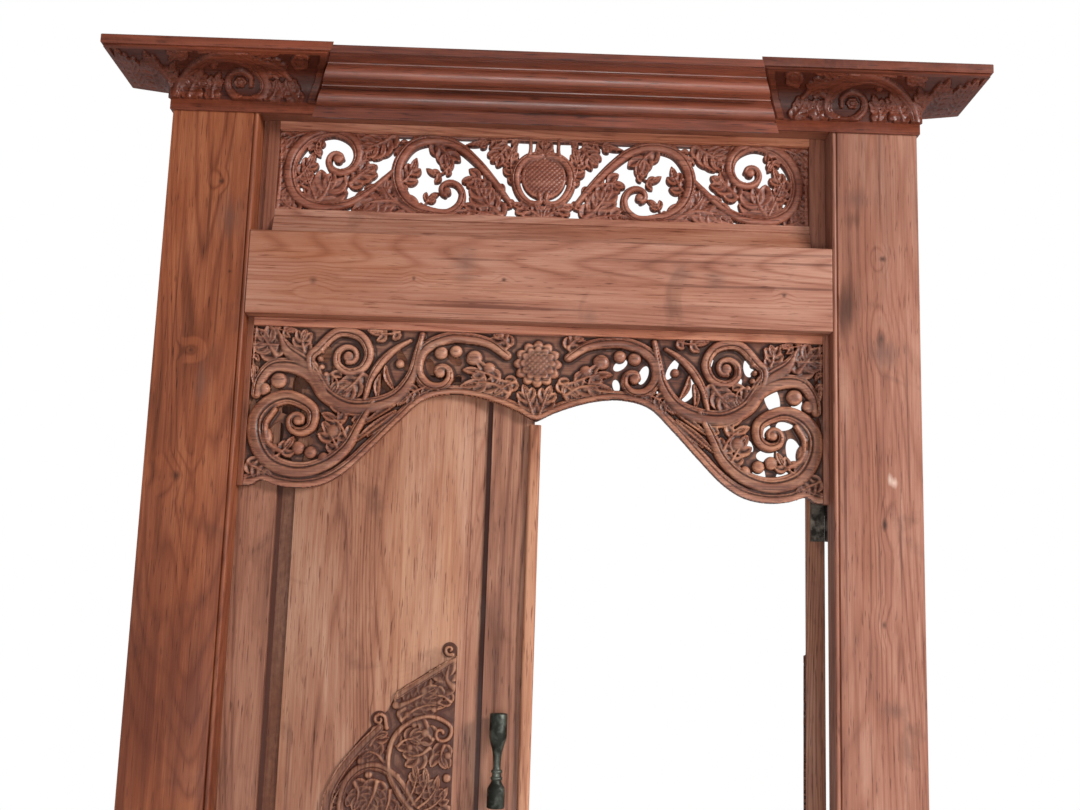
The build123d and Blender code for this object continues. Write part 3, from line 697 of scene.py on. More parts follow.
@dataclass
class Carving:
    """A carved board: forms over a ground, clipped to an outline, with windows sawn between them."""

    forms: Forms
    outline: Callable[[np.ndarray, np.ndarray], np.ndarray]
    ground: float | None = None
    windows: tuple[Window, ...] = ()
    folded: bool = True
    fold_z: float | None = None
    sawn_gap: float = 0.6

    def fields(self, x: np.ndarray, z: np.ndarray) -> Fields:
        """Distance past the wood's edge and its height over the back.

        Args:
            x: places across, in millimetres.
            z: places upwards.

        Returns:
            The two fields.
        """
        if self.folded:
            x = np.abs(x)
        if self.fold_z is not None:
            z = self.fold_z + np.abs(z - self.fold_z)
        floor = self.ground or 0.0
        gap = np.full(x.shape, FAR)
        height = np.full(x.shape, floor)
        for form in self.forms:
            away, rise = form.fields(x, z)
            gap = np.minimum(gap, away)
            height = np.maximum(height, floor + (rise - floor) * np.clip(1.0 - away / CELL, 0.0, 1.0))
        edge = gap if self.ground is None else np.full(x.shape, -FAR)
        for window in self.windows:
            edge = np.maximum(edge, np.minimum(window.inside(x, z), gap - self.sawn_gap))
        return np.maximum(edge, self.outline(x, z)), height


@dataclass
class CarvedSheet:
    """Turns a carving into a closed mesh, one grid vertex at a time."""

    carving: Carving
    low: tuple[float, float]
    high: tuple[float, float]
    # shade, relief and spread set the painted shade of the recesses; the flat back gets a fixed painted shade
    shade: float = 0.0
    relief: float = 6.0
    spread: float = 7.0
    rear_shade: float = 0.35

    def build(self, back: float) -> bmesh.types.BMesh:
        """Builds the carved face, its walls and its flat back.

        Args:
            back: depth of the flat back in the row's frame, in millimetres.

        Returns:
            The mesh, with the painted shade of its recesses in a vertex layer.
        """
        size = (self.high[0] - self.low[0], self.high[1] - self.low[1])
        count = (int(size[0] / CELL), int(size[1] / CELL))
        mesh, flat = unit_grid(*count)
        x = self.low[0] + flat[:, 0] * size[0]
        z = self.low[1] + flat[:, 1] * size[1]
        edge, height = self.carving.fields(x, z)
        painted_shade = self.painted_shade(flat, count, edge, height)
        mesh.verts.layers.float.new("painted_shade")
        number = mesh.verts.layers.int.new("number")
        for at, vert in enumerate(mesh.verts):
            vert[number] = at
        gone = [face for face in mesh.faces if sum(edge[vert[number]] for vert in face.verts) > 0.0]
        bmesh.ops.delete(mesh, geom=gone, context="FACES")
        old = [vert[number] for vert in mesh.verts]
        mesh.verts.layers.int.remove(number)
        layer = mesh.verts.layers.float["painted_shade"]
        rim = [at for at, vert in enumerate(mesh.verts) if vert.is_boundary]
        x, z, height, painted_shade = x[old], z[old], height[old], painted_shade[old]
        x[rim], z[rim] = self.onto_edge(x[rim], z[rim])
        height[rim] = self.carving.fields(x[rim], z[rim])[1]
        for vert, spot, dark in zip(mesh.verts, np.column_stack([x, back - height, z]) * MM, painted_shade):
            vert.co = spot
            vert[layer] = dark
        copied = bmesh.ops.extrude_face_region(mesh, geom=list(mesh.faces))["geom"]
        rear = [item for item in copied if isinstance(item, bmesh.types.BMVert)]
        for vert in rear:
            vert.co.y = back * MM
            vert[layer] = self.rear_shade
        rear_edges = [item for item in copied if isinstance(item, bmesh.types.BMEdge)]
        bmesh.ops.dissolve_limit(mesh, angle_limit=0.01, verts=rear, edges=rear_edges)
        bmesh.ops.recalc_face_normals(mesh, faces=list(mesh.faces))
        return mesh

    def onto_edge(self, x: np.ndarray, z: np.ndarray) -> Fields:
        """Moves rim points onto the drawn outline, each by less than a cell.

        Args:
            x: places across.
            z: places upwards.

        Returns:
            The places moved.
        """
        step = 0.4
        edge = self.carving.fields(x, z)[0]
        slope_x = (self.carving.fields(x + step, z)[0] - self.carving.fields(x - step, z)[0]) / (2 * step)
        slope_z = (self.carving.fields(x, z + step)[0] - self.carving.fields(x, z - step)[0]) / (2 * step)
        steep = np.maximum(slope_x ** 2 + slope_z ** 2, 0.25)
        limit = 0.62 * CELL
        move_x = np.clip(-edge * slope_x / steep, -limit, limit)
        move_z = np.clip(-edge * slope_z / steep, -limit, limit)
        return x + move_x, z + move_z

    def painted_shade(self, flat: np.ndarray, count: tuple[int, int], edge: np.ndarray,
               height: np.ndarray) -> np.ndarray:
        """Painted shade for each point, from how deep it lies under the wood around it.

        Args:
            flat: each vertex's place on the grid, from 0 to 1 both ways.
            count: the grid's columns and rows.
            edge: distance past the wood's edge.
            height: height over the back.

        Returns:
            Painted shade from 0 to 1.2.
        """
        columns = np.rint(flat[:, 0] * count[0]).astype(int)
        rows = np.rint(flat[:, 1] * count[1]).astype(int)
        board = np.zeros((count[1] + 1, count[0] + 1))
        board[rows, columns] = np.where(edge < 0, height, height.min() if self.carving.ground is None else
                                        self.carving.ground)
        reach = max(2, int(self.spread / CELL))
        around = board.copy()
        for axis in (0, 1):
            padded = np.concatenate([np.repeat(np.take(around, [0], axis), reach, axis), around,
                                     np.repeat(np.take(around, [-1], axis), reach, axis)], axis)
            total = np.cumsum(padded, axis)
            total = np.concatenate([np.zeros_like(np.take(total, [0], axis)), total], axis)
            length = around.shape[axis]
            upper = np.take(total, range(2 * reach + 1, 2 * reach + 1 + length), axis)
            lower = np.take(total, range(0, length), axis)
            around = (upper - lower) / (2 * reach + 1)
        # painted shade: the lower a point lies under its neighbours' average, the darker
        deep = np.clip(0.40 + self.shade + (around - board) / self.relief, 0.0, 1.2)
        return deep[rows, columns]


def unit_grid(columns: int, rows: int) -> tuple[bmesh.types.BMesh, np.ndarray]:
    """A flat grid.

    Args:
        columns: steps across.
        rows: steps upwards.

    Returns:
        The mesh, and each vertex's place on it from 0 to 1 both ways.
    """
    mesh = bmesh.new()
    bmesh.ops.create_grid(mesh, x_segments=columns, y_segments=rows, size=0.5)
    flat = np.array([vert.co[:2] for vert in mesh.verts])
    return mesh, (flat - flat.min(0)) / (flat.max(0) - flat.min(0))


def sweep(profile: np.ndarray, columns: int) -> tuple[bmesh.types.BMesh, np.ndarray, np.ndarray]:
    """A grid that runs round a closed profile.

    Args:
        profile: its points as rows.
        columns: number of steps along.

    Returns:
        The mesh, each vertex's share along and its row of the profile.
    """
    mesh, flat = unit_grid(columns, len(profile))
    return mesh, flat[:, 0], np.rint(flat[:, 1] * len(profile)).astype(int) % len(profile)


def close_up(mesh: bmesh.types.BMesh) -> None:
    """Joins a sweep along its seam and caps its ends."""
    bmesh.ops.remove_doubles(mesh, verts=list(mesh.verts), dist=MERGE)
    bmesh.ops.holes_fill(mesh, edges=list(mesh.edges), sides=0)


def piece(name: str, mesh: bmesh.types.BMesh, finish: bpy.types.Material, body: str,
          stands_for: tuple[str, ...] = (), crease: float = 38.0) -> bpy.types.Object:
    """Turns a bmesh into a finished object that rides on its body.

    Args:
        name: the object's name.
        mesh: the shape, which is freed.
        finish: its material.
        body: the body it rides on.
        stands_for: CAD nodes that it replaces.
        crease: edges sharper than this angle in degrees stay sharp.

    Returns:
        The object.
    """
    data = bpy.data.meshes.new(name)
    mesh.to_mesh(data)
    mesh.free()
    data.materials.append(finish)
    data.shade_smooth()
    data.set_sharp_from_angle(angle=math.radians(crease))
    made = bpy.data.objects.new(name, data)
    bpy.context.scene.collection.objects.link(made)
    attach(made, body)
    if stands_for:
        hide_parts(*stands_for)
    log.info("%s: %d faces", name, len(data.polygons))
    return made


class Side(Enum):
    """Which leaf or half a piece belongs to; pieces are drawn for the closed left leaf."""

    LEFT = "left"
    RIGHT = "right"

    @property
    def turn(self) -> float:
        """Angle that brings the open right leaf's patterns back to upright and level."""
        return -OPEN_ANGLE if self is Side.RIGHT else 0.0

    def set_in_place(self, mesh: bmesh.types.BMesh) -> None:
        """Mirrors a closed left leaf's piece to the right and swings it open.

        Args:
            mesh: the piece, changed in place; nothing happens on the left.
        """
        if self is Side.LEFT:
            return
        flip = Matrix.Diagonal((-1.0, 1.0, 1.0, 1.0))
        back, turn = Matrix.Translation(HINGE_LINE), Matrix.Rotation(OPEN_ANGLE, 4, "Z")
        swing = back @ turn @ Matrix.Translation(-HINGE_LINE)
        bmesh.ops.transform(mesh, matrix=swing @ flip, verts=list(mesh.verts))
        bmesh.ops.reverse_faces(mesh, faces=list(mesh.faces))


@dataclass
class Board:
    """A board of the frame or a leaf: its CAD solid with softened, slightly worn edges."""

    node: str
    finish: Teak
    body: str
    round_over: float = 1.6
    crease: float = 34.0

    def build(self) -> bpy.types.Object:
        """Copies the solid, merges its triangles and rounds its edges.

        Returns:
            The board.
        """
        mesh = bmesh.new()
        mesh.from_mesh(NODES[self.node].data)
        bmesh.ops.remove_doubles(mesh, verts=list(mesh.verts), dist=MERGE)
        bmesh.ops.dissolve_limit(mesh, angle_limit=math.radians(0.5), verts=list(mesh.verts),
                                 edges=list(mesh.edges))
        made = piece(self.node + "_board", mesh, self.finish.material(), self.body,
                     (self.node,), self.crease)
        bevel = made.modifiers.new("worn edges", "BEVEL")
        bevel.width = self.round_over * MM
        bevel.segments = 2
        bevel.limit_method = "ANGLE"
        bevel.angle_limit = math.radians(50)
        bevel.harden_normals = True
        return made


@dataclass
class TransomCarving:
    """The pierced scrollwork of the light above the lintel."""

    half: float = 589.0
    low: float = 2263.0
    high: float = 2448.0
    back: float = 92.0
    finish: Teak = Teak("transom_teak", "carved_teak", "b0735d", "854834", "4c2317", Grain.LEVEL,
                        offset=(0.3, 0, 0.7), carved=True, roughness=0.45, ringing=0.15, specular=0.42,
                        recess_shade="3a120a")

    def forms(self) -> Forms:
        """Right half of the design, with the middle of the door at zero.

        Returns:
            Its strokes, blooms, bosses and leaves.
        """
        return (
            Stroke(((74, 2300), (112, 2350), (152, 2394), (192, 2426), (242, 2440), (292, 2428), (320, 2392),
                    (327, 2352), (312, 2308), (282, 2282), *spiral((213, 2320), (61, 10), (-50, -420), 9)),
                   13, 11, 14),
            Stroke(((336, 2362), (384, 2316), (434, 2284), (500, 2277), (545, 2300), (563, 2345), (557, 2392),
                    *spiral((459, 2386), (80, 10), (38, 520), 11)), 12, 11, 18),
            Stroke(((10, 2412), (38, 2404), (59, 2378), (61, 2342), (46, 2312), (24, 2298), (6, 2304),
                    (8, 2320)), 20, 12, 4),
            Stroke(((32, 2452), (31, 2425), (36, 2400)), 8, 9),
            Bloom((0, 2360), 50, 23, 6, seeds=11.0),
            Stroke(((0, 2448), (300, 2449), (589, 2448)), 9, 9, 0, Cut.BAND, 17.0, 3.0),
            Stroke(((0, 2263), (300, 2262), (589, 2263)), 9, 9, 0, Cut.BAND, 17.0, 3.0),
            *bosses(((213, 2320, 9, 25), (459, 2386, 10, 25)), drop=5),
            *leaves((
                (0, 2392, 0, 2424, 0, 2452, 35, 3), (62, 2346, 76, 2392, 62, 2438, 31, 4),
                (2, 2264, 4, 2280, 14, 2296, 31, 2), (0, 2263, 30, 2284, 70, 2298, 38, 3),
                (70, 2290, 100, 2330, 96, 2300, 25, 2), (84, 2430, 98, 2412, 120, 2394, 38, 3),
                (60, 2448, 120, 2440, 176, 2430, 27, 4), (92, 2268, 126, 2300, 150, 2352, 51, 4),
                (100, 2264, 150, 2276, 196, 2266, 39, 3), (118, 2344, 150, 2352, 182, 2344, 40, 2),
                (246, 2434, 216, 2404, 208, 2372, 45, 3), (212, 2376, 236, 2358, 262, 2372, 27, 2),
                (326, 2326, 300, 2352, 284, 2396, 35, 3), (266, 2276, 252, 2304, 232, 2316, 25, 2),
                (280, 2446, 312, 2424, 336, 2404, 24, 2), (286, 2266, 350, 2296, 424, 2266, 67, 5),
                (322, 2290, 352, 2322, 350, 2352, 35, 3), (338, 2448, 368, 2426, 412, 2412, 52, 4),
                (420, 2448, 408, 2418, 400, 2384, 35, 3), (430, 2330, 404, 2356, 372, 2376, 44, 3),
                (500, 2282, 480, 2312, 470, 2352, 67, 3), (500, 2286, 520, 2330, 536, 2372, 32, 4),
                (556, 2330, 528, 2360, 512, 2402, 35, 3), (500, 2432, 510, 2412, 500, 2392, 26, 2),
                (588, 2264, 584, 2350, 588, 2446, 58, 8), (520, 2447, 560, 2436, 590, 2410, 44, 4),
                (540, 2265, 566, 2276, 590, 2300, 40, 3),
            ), top=20.0, drop=9.0),
        )

    def build(self) -> None:
        """Carves the board and sets it into the transom frame."""
        def outline(x: np.ndarray, z: np.ndarray) -> np.ndarray:
            """Distance past the opening of the transom frame."""
            return np.maximum(x - self.half, np.maximum(self.low - z, z - self.high))

        carving = Carving(self.forms(), outline)
        mesh = CarvedSheet(carving, (-self.half, self.low), (self.half, self.high)).build(self.back)
        piece("transom_scrollwork", mesh, self.finish.material(), "frame",
              ("transom_carving",), 55.0)


@dataclass
class SpandrelCarving:
    """The scalloped, pierced board under the lintel."""

    half: float = 612.0
    high: float = 1994.0
    low: float = 1640.0
    back: float = 60.0
    ground: float = 7.5
    rim_reach: float = 40.0
    finish: Teak = Teak("spandrel_teak", "carved_teak", "bf886c", "8f5844", "48271c", Grain.LEVEL,
                        offset=(0.1, 0, 0.2), carved=True, roughness=0.45, ringing=0.15, specular=0.42,
                        recess_shade="2a0f08")

    def scallop(self) -> np.ndarray:
        """The lower outline from the cusp outwards.

        Returns:
            Samples as rows of (x, z).
        """
        return smooth_line((
            (-6, 1806), (0, 1806), (40, 1826), (95, 1846), (140, 1856), (185, 1858), (240, 1844),
            (294, 1794), (348, 1736), (400, 1684), (444, 1657), (495, 1647), (540, 1651), (577, 1661),
            (594, 1651), (620, 1648),
        ), 2.0)

    def forms(self) -> Forms:
        """Right half of the design, with the middle of the door at zero.

        Returns:
            Its strokes, blooms, bosses and leaves.
        """
        vine = {"top": 23.0, "drop": 9.0}
        border = tuple(map(tuple, (self.scallop() + (0, 9))[::12]))
        return (
            Stroke(border, 17, 30, 0, Cut.VINE, 20.0, 7.0),
            Stroke(((66, 1946), (104, 1972), (150, 1982), *spiral((208, 1904), (78, 9), (100, -350), 9)),
                   18, 11, 12, **vine),
            Stroke(((250, 1986), (258, 1944), (268, 1896), (298, 1852), (344, 1830), (400, 1826), (448, 1850),
                    (478, 1888), (520, 1908), (566, 1906), (592, 1876), (598, 1846)), 12, 22, 20, **vine),
            Stroke(((350, 1836), (376, 1786), (400, 1738), (440, 1702), (500, 1684), (560, 1702), (590, 1748),
                    (592, 1795), (566, 1828), (528, 1840), (484, 1822),
                    *spiral((505, 1790), (36, 9), (150, 560), 8)), 16, 10, 24, **vine),
            Stroke(((556, 1812), (574, 1780), (566, 1740), (536, 1722)), 12, 10, 4, **vine),
            Stroke(((452, 1852), (480, 1892), (486, 1930), *spiral((405, 1932), (68, 12), (12, 640), 12)),
                   20, 10, 6, **vine),
            Stroke(((452, 1864), (494, 1913), (537, 1945), (556, 1978)), 12, 5, 30, Cut.VINE, 22.0, 8.0),
            Stroke(((275, 1972), (304, 1954), (334, 1924), (356, 1884), (366, 1842)), 7, 10, 9, **vine),
            Stroke(((308, 1866), (322, 1890), (326, 1914)), 5, 4, 9, Cut.LOBE, 20.0, 8.0),
            Stroke(((340, 1848), (342, 1872), (336, 1896)), 6, 4, 9, Cut.LOBE, 20.0, 8.0),
            Stroke(((380, 1752), (344, 1784), (300, 1818)), 6, 5, 9, Cut.LOBE, 20.0, 8.0),
            Stroke(((366, 1788), (336, 1810), (298, 1834)), 5, 4, 8, Cut.LOBE, 20.0, 8.0),
            Stroke(((356, 1762), (326, 1786), (280, 1824)), 5, 4, 8, Cut.LOBE, 19.0, 8.0),
            Bloom((0, 1930), 51, 20, 7, petals=12),
            Bloom((0, 1930), 39, 22.4, 6, petals=12),
            Bloom((0, 1930), 30, 23.5, 4.5, seeds=12.0),
            Bloom((572, 1750), 15, stretch=1.6, top=22.0, drop=9.0),
            *bosses(((208, 1904, 11, 24), (505, 1790, 10, 24), (405, 1932, 11, 24)), drop=5),
            *bosses((
                (502, 1732, 14), (475, 1723, 13), (446, 1712, 12), (430, 1770, 16), (551, 1729, 10),
                (552, 1876, 17), (583, 1856, 14), (295, 1921, 9), (208, 1948, 14), (176, 1952, 13),
                (136, 1938, 17), (104, 1916, 14), (458, 1960, 6), (464, 1944, 6), (466, 1926, 6),
                (462, 1908, 6), (452, 1892, 6),
            ), top=22.0, drop=9.0),
            *leaves((
                (560, 1930, 580, 1956, 602, 1984, 54, 3), (560, 1952, 592, 1952, 610, 1944, 30, 2),
                (500, 1940, 506, 1962, 500, 1988, 34, 3), (566, 1990, 540, 1984, 520, 1988, 24, 2),
                (300, 1990, 330, 1984, 368, 1992, 30, 2), (374, 1896, 392, 1872, 424, 1846, 44, 3),
                (440, 1894, 424, 1870, 436, 1846, 34, 2), (560, 1706, 532, 1724, 512, 1756, 32, 2),
                (416, 1730, 428, 1752, 452, 1790, 42, 2), (400, 1756, 420, 1790, 456, 1808, 40, 2),
                (372, 1806, 404, 1808, 440, 1826, 34, 2), (606, 1696, 580, 1684, 552, 1668, 36, 3),
                (60, 1862, 104, 1886, 164, 1876, 44, 3), (84, 1894, 118, 1908, 160, 1912, 36, 2),
                (236, 1872, 262, 1860, 296, 1830, 30, 3), (64, 1968, 78, 1984, 96, 1992, 36, 2),
                (46, 1890, 66, 1880, 90, 1860, 34, 2), (6, 1816, 16, 1846, 30, 1884, 38, 3),
                (606, 1990, 608, 1900, 600, 1856, 22, 4),
            ), top=20.0, drop=8.0),
        )

    def windows(self) -> tuple[Window, ...]:
        """Places of the right half where light shows between the forms.

        Returns:
            The windows.
        """
        return tuple(Window(row[:2], *row[2:]) for row in (
            (553, 1755, 34, 17, 105), (534, 1817, 22, 12, 20), (488, 1810, 26, 14, 110),
            (497, 1749, 26, 14, 5), (478, 1708, 26, 14, 100), (532, 1707, 20, 13, 25),
            (505, 1874, 34, 17, 105), (556, 1870, 26, 14, 105), (455, 1940, 22, 12), (604, 1786, 52, 9),
            (604, 1908, 20, 9),
            (394, 1856, 20, 11, 0), (330, 1890, 34, 13, 62), (228, 1915, 22, 10, 70), (118, 1908, 26, 10, 0),
            (86, 1872, 22, 12, 20), (290, 1930, 26, 9, 62), (255, 1885, 22, 9, 80), (178, 1935, 18, 10, 40),
            (170, 1890, 14, 8, 100), (370, 1950, 22, 8, 75), (430, 1900, 18, 8, 60), (455, 1770, 16, 9, 120),
            (568, 1940, 20, 8, 170),
        ))

    def build(self) -> None:
        """Carves the board and sets it under the lintel."""
        line = self.scallop()

        def outline(x: np.ndarray, z: np.ndarray) -> np.ndarray:
            """Distance past the board's straight sides and its scalloped foot.

            Args:
                x: places across.
                z: places upwards.

            Returns:
                The distances, negative on the board.
            """
            foot = np.interp(x, line[:, 0], line[:, 1])
            past = foot - z
            close = np.flatnonzero(np.abs(past) < self.rim_reach)
            past[close] = np.sign(past[close]) * reach_to(line, x[close], z[close])
            return np.maximum(np.maximum(x - self.half, z - self.high), past)

        carving = Carving(self.forms(), outline, self.ground, self.windows())
        # shade and relief set the painted shade of the carving's recesses
        mesh = CarvedSheet(carving, (-self.half, self.low), (self.half, self.high),
                           shade=0.16, relief=4.4).build(self.back)
        piece("spandrel_scrollwork", mesh, self.finish.material(), "frame",
              ("spandrel_carving",), 55.0)


@dataclass
class Panel:
    """A raised and fielded panel with half of a mountain-leaf relief by the meeting stile."""

    side: Side
    finish: Teak
    outer: float = -544.0
    inner: float = -91.5
    bottom: float = 188.0
    top: float = 1901.0
    margin_front: float = 76.0
    back: float = 94.0
    margin: float = 9.0
    bevel: float = 30.0
    drop: float = 9.0
    step: float = 3.0
    relief_side: float = -147.0
    relief_reach: float = -420.0
    relief_middle: float = 970.0
    relief_rise: float = 367.0
    relief_ground: float = 3.0
    relief_seat: float = 1.2
    edge_round: float = 1.4
    # painted shade for the flat faces, the step, the outer slope, darkened as if turned from the light, and
    # the sunk margin
    plain_shade: float = 0.10
    step_shade: float = 0.62
    outer_slope_shade: float = 0.66
    margin_shade: float = 1.0

    @property
    def field(self) -> float:
        """Depth of the raised field."""
        return self.margin_front - self.drop - self.step

    def board(self) -> bmesh.types.BMesh:
        """The panel itself: body, sloped border and raised field.

        Returns:
            The mesh, with painted shade for its step, slopes and margin in a vertex layer.
        """
        mesh = bmesh.new()
        made = bmesh.ops.create_cube(mesh, size=1.0)["verts"]
        size = Vector((self.inner - self.outer, self.back - self.margin_front, self.top - self.bottom)) * MM
        middle = Vector((self.inner + self.outer, self.back + self.margin_front,
                         self.top + self.bottom)) * MM / 2
        bmesh.ops.scale(mesh, vec=size, verts=made)
        bmesh.ops.translate(mesh, vec=middle, verts=made)
        face = min(mesh.faces, key=lambda one: one.calc_center_median().y)
        for thickness, depth in ((self.margin, 0.0), (self.bevel * 0.10, self.drop * 0.10),
                                 (self.bevel * 0.80, self.drop * 0.80), (self.bevel * 0.10, self.drop * 0.10),
                                 (0.01, self.step)):
            bmesh.ops.inset_region(mesh, faces=[face], thickness=thickness * MM, depth=depth * MM,
                                   use_even_offset=True)
        ridge = [edge for edge in mesh.edges if all(abs(v.co.y / MM - self.field) < 0.1 for v in edge.verts)]
        bmesh.ops.bevel(mesh, geom=ridge, offset=self.edge_round * MM, offset_type="OFFSET", segments=2,
                        profile=0.5, affect="EDGES", clamp_overlap=True, material=-1)
        # painted shade per vertex: darker on the step, the outer slope and the margin groove, light on the
        # flat faces
        layer = mesh.verts.layers.float.new("painted_shade")
        for vert in mesh.verts:
            sunk = vert.co.y / MM - self.field
            away = vert.co.x / MM < self.outer + self.margin + self.bevel - 0.1
            slope = self.outer_slope_shade if away else self.plain_shade
            vert[layer] = (self.plain_shade if sunk < 1.0 or vert.co.y / MM > self.back - 1.0 else
                           self.step_shade if sunk < self.step + 0.5 else
                           slope if sunk < self.step + self.drop * 0.95 else self.margin_shade)
        return mesh

    def forms(self) -> Forms:
        """Upper half of the relief.

        Returns:
            Its strokes, blooms, bosses and leaves.
        """
        vine = {"top": 8.4, "drop": 4.6}
        return (
            Stroke(((-150, 1303), (-200, 1270), (-266, 1226)), 12, 14, 0, Cut.BAND, 8.2, 2.6),
            Stroke(((-300, 1160), (-340, 1118), (-376, 1070), (-398, 1024), (-402, 970)), 16, 24, 0,
                   Cut.BAND, 8.2, 2.6),
            Stroke(tuple(spiral((-163, 1322), (12, 3), (-60, -420), 8)), 9, 5, 0, **vine),
            Stroke(((-286, 1160), *spiral((-302, 1176), (15, 4), (-20, 400), 8)), 10, 6, 0, **vine),
            Stroke(((-222, 990), (-258, 1034), (-280, 1086), (-270, 1140), (-240, 1172), (-200, 1186),
                    (-166, 1176), *spiral((-174, 1152), (24, 5), (30, -340), 8)), 16, 7, 0, **vine),
            Stroke(((-224, 1012), (-256, 1056), (-296, 1082), (-334, 1078), (-362, 1050), (-372, 1010),
                    (-370, 970)), 14, 14, 6, **vine),
            Stroke(((-250, 1200), (-262, 1190), (-256, 1178)), 12, 10, 0, **vine),
            Bloom((-196, 976), 14, 8.4, 3.4, petals=6, seeds=5.0),
            *bosses((
                (-244, 1188, 8, 8.2), (-230, 1168, 7, 8.0), (-268, 1206, 8, 8.2), (-190, 1200, 7, 8.0),
                (-334, 1092, 9, 8.2), (-318, 1066, 8, 8.0), (-236, 1122, 8, 8.2), (-158, 1108, 8, 8.2),
                (-260, 1064, 7, 8.0), (-158, 1064, 8, 8.2), (-348, 972, 9, 8.2), (-206, 1152, 9, 8.6),
                (-212, 1236, 10, 8.4),
            ), drop=3.0),
            Bloom((-300, 968), 10, 8.4, 3.2),
            *leaves((
                (-152, 1246, -166, 1262, -160, 1300, 62, 2), (-262, 1204, -226, 1222, -184, 1246, 57, 4),
                (-256, 1176, -216, 1206, -168, 1206, 39, 3), (-190, 1140, -214, 1156, -236, 1144, 42, 2),
                (-166, 1128, -172, 1104, -160, 1084, 38, 2), (-196, 1122, -220, 1106, -250, 1110, 42, 3),
                (-236, 1016, -220, 1056, -226, 1092, 30, 3), (-226, 1010, -200, 1046, -204, 1084, 30, 3),
                (-214, 1004, -184, 1032, -176, 1068, 30, 3), (-206, 996, -176, 1014, -156, 1044, 30, 3),
                (-288, 1092, -312, 1112, -338, 1102, 38, 3), (-346, 1050, -336, 1028, -346, 996, 43, 3),
                (-300, 1052, -308, 1020, -328, 980, 49, 4), (-272, 1036, -276, 1004, -292, 972, 39, 3),
                (-170, 1000, -164, 984, -168, 966, 52, 2), (-262, 1124, -240, 1140, -214, 1132, 34, 2),
                (-318, 1124, -306, 1140, -284, 1150, 34, 2), (-156, 1216, -176, 1228, -206, 1226, 30, 2),
                (-392, 990, -384, 1020, -360, 1060, 26, 3), (-252, 972, -246, 992, -238, 1012, 30, 2),
                (-206, 968, -196, 980, -178, 990, 30, 2),
            ), top=7.6, drop=4.4),
        )

    def relief(self) -> bmesh.types.BMesh:
        """The carved relief as a closed skin that stands on the field.

        Returns:
            The mesh, with the painted shade of its recesses in a vertex layer.
        """
        shoulder = np.array((
            (-147, 1338), (-150, 1306), (-168, 1299), (-200, 1280), (-268, 1234), (-284, 1196), (-320, 1160),
            (-346, 1128), (-384, 1076), (-406, 1028), (-414, 970),
        ), float)[::-1]
        line = np.vstack([np.linspace(a, b, 14) for a, b in zip(shoulder, shoulder[1:])])

        def outline(x: np.ndarray, z: np.ndarray) -> np.ndarray:
            """Distance past the relief's contour, volutes included.

            Args:
                x: places across.
                z: places upwards.

            Returns:
                The distances, negative on the relief.
            """
            border = np.interp(z, line[:, 1], line[:, 0])
            past = np.sign(border - x) * reach_to(line, x, z)
            past = np.where(z > shoulder[:, 1].max(), FAR, past)
            for centre, radius in (((-163, 1322), 15.5), ((-302, 1176), 18.0)):
                past = np.minimum(past, np.hypot(x - centre[0], z - centre[1]) - radius)
            return np.maximum(past, x - self.relief_side)

        carving = Carving(self.forms(), outline, self.relief_ground, folded=False, fold_z=self.relief_middle)
        # shade and relief set the painted shade of the relief's recesses
        sheet = CarvedSheet(carving, (self.relief_reach, self.relief_middle - self.relief_rise - 2),
                            (self.relief_side, self.relief_middle + self.relief_rise + 2),
                            shade=0.37, relief=2.8)
        return sheet.build(self.field + self.relief_seat)

    def build(self) -> None:
        """Joins board and relief, and hangs them in their leaf."""
        mesh = self.board()
        carved = self.relief()
        loose = bpy.data.meshes.new("relief")
        carved.to_mesh(loose)
        carved.free()
        mesh.from_mesh(loose)
        bpy.data.meshes.remove(loose)
        self.side.set_in_place(mesh)
        piece(self.side.value + "_carved_panel", mesh, self.finish.material(), self.side.value + "_leaf",
              (self.side.value + "_panel",), 42.0)


@dataclass
class Photographer:
    """The camera of the photograph, found from its straight lines."""

    place: tuple[float, float, float] = (-0.009, -2.714, 1.356)
    yaw: float = math.radians(0.35)
    pitch: float = math.radians(9.97)
    roll: float = math.radians(1.84)
    focal: float = 1313.0
    width: float = 1080.0

    def build(self) -> None:
        """Makes the camera and gives it to the scene."""
        ahead = Vector((math.sin(self.yaw) * math.cos(self.pitch), math.cos(self.yaw) * math.cos(self.pitch),
                        math.sin(self.pitch)))
        right = Vector((math.cos(self.yaw), -math.sin(self.yaw), 0.0))
        above = right.cross(ahead)
        tilted = right * math.cos(self.roll) + above * math.sin(self.roll)
        above = above * math.cos(self.roll) - right * math.sin(self.roll)
        data = bpy.data.cameras.new("photographer")
        data.sensor_width = 36.0
        data.lens = self.focal / self.width * data.sensor_width
        camera = bpy.data.objects.new("photographer", data)
        turn = Matrix((tilted, above, -ahead)).transposed().to_4x4()
        camera.matrix_world = Matrix.Translation(self.place) @ turn
        bpy.context.scene.collection.objects.link(camera)
        bpy.context.scene.camera = camera

    def seen_at(self, spots: np.ndarray, plane: float) -> Fields:
        """Where places appear on an upright plane, as the photographer sees them.

        Args:
            spots: rows of (x, y, z) in millimetres.
            plane: depth of the plane in millimetres.

        Returns:
            Places across and upwards on that plane, in millimetres.
        """
        eye = np.array(self.place) / MM
        scale = (plane - eye[1]) / (spots[:, 1] - eye[1])
        return eye[0] + (spots[:, 0] - eye[0]) * scale, eye[2] + (spots[:, 2] - eye[2]) * scale


@dataclass(frozen=True)
class Divider:
    """The leaning cut between the cornice's run and an end block."""

    start: float = 508.0
    lean: float = 29.0
    reach: float = 127.0
    height: float = 113.0

    def at(self, reach: np.ndarray, rise: np.ndarray) -> np.ndarray:
        """Distance of the cut from the door's middle, at heights over the block's foot."""
        return self.start - self.lean * (reach / self.reach + rise / self.height)


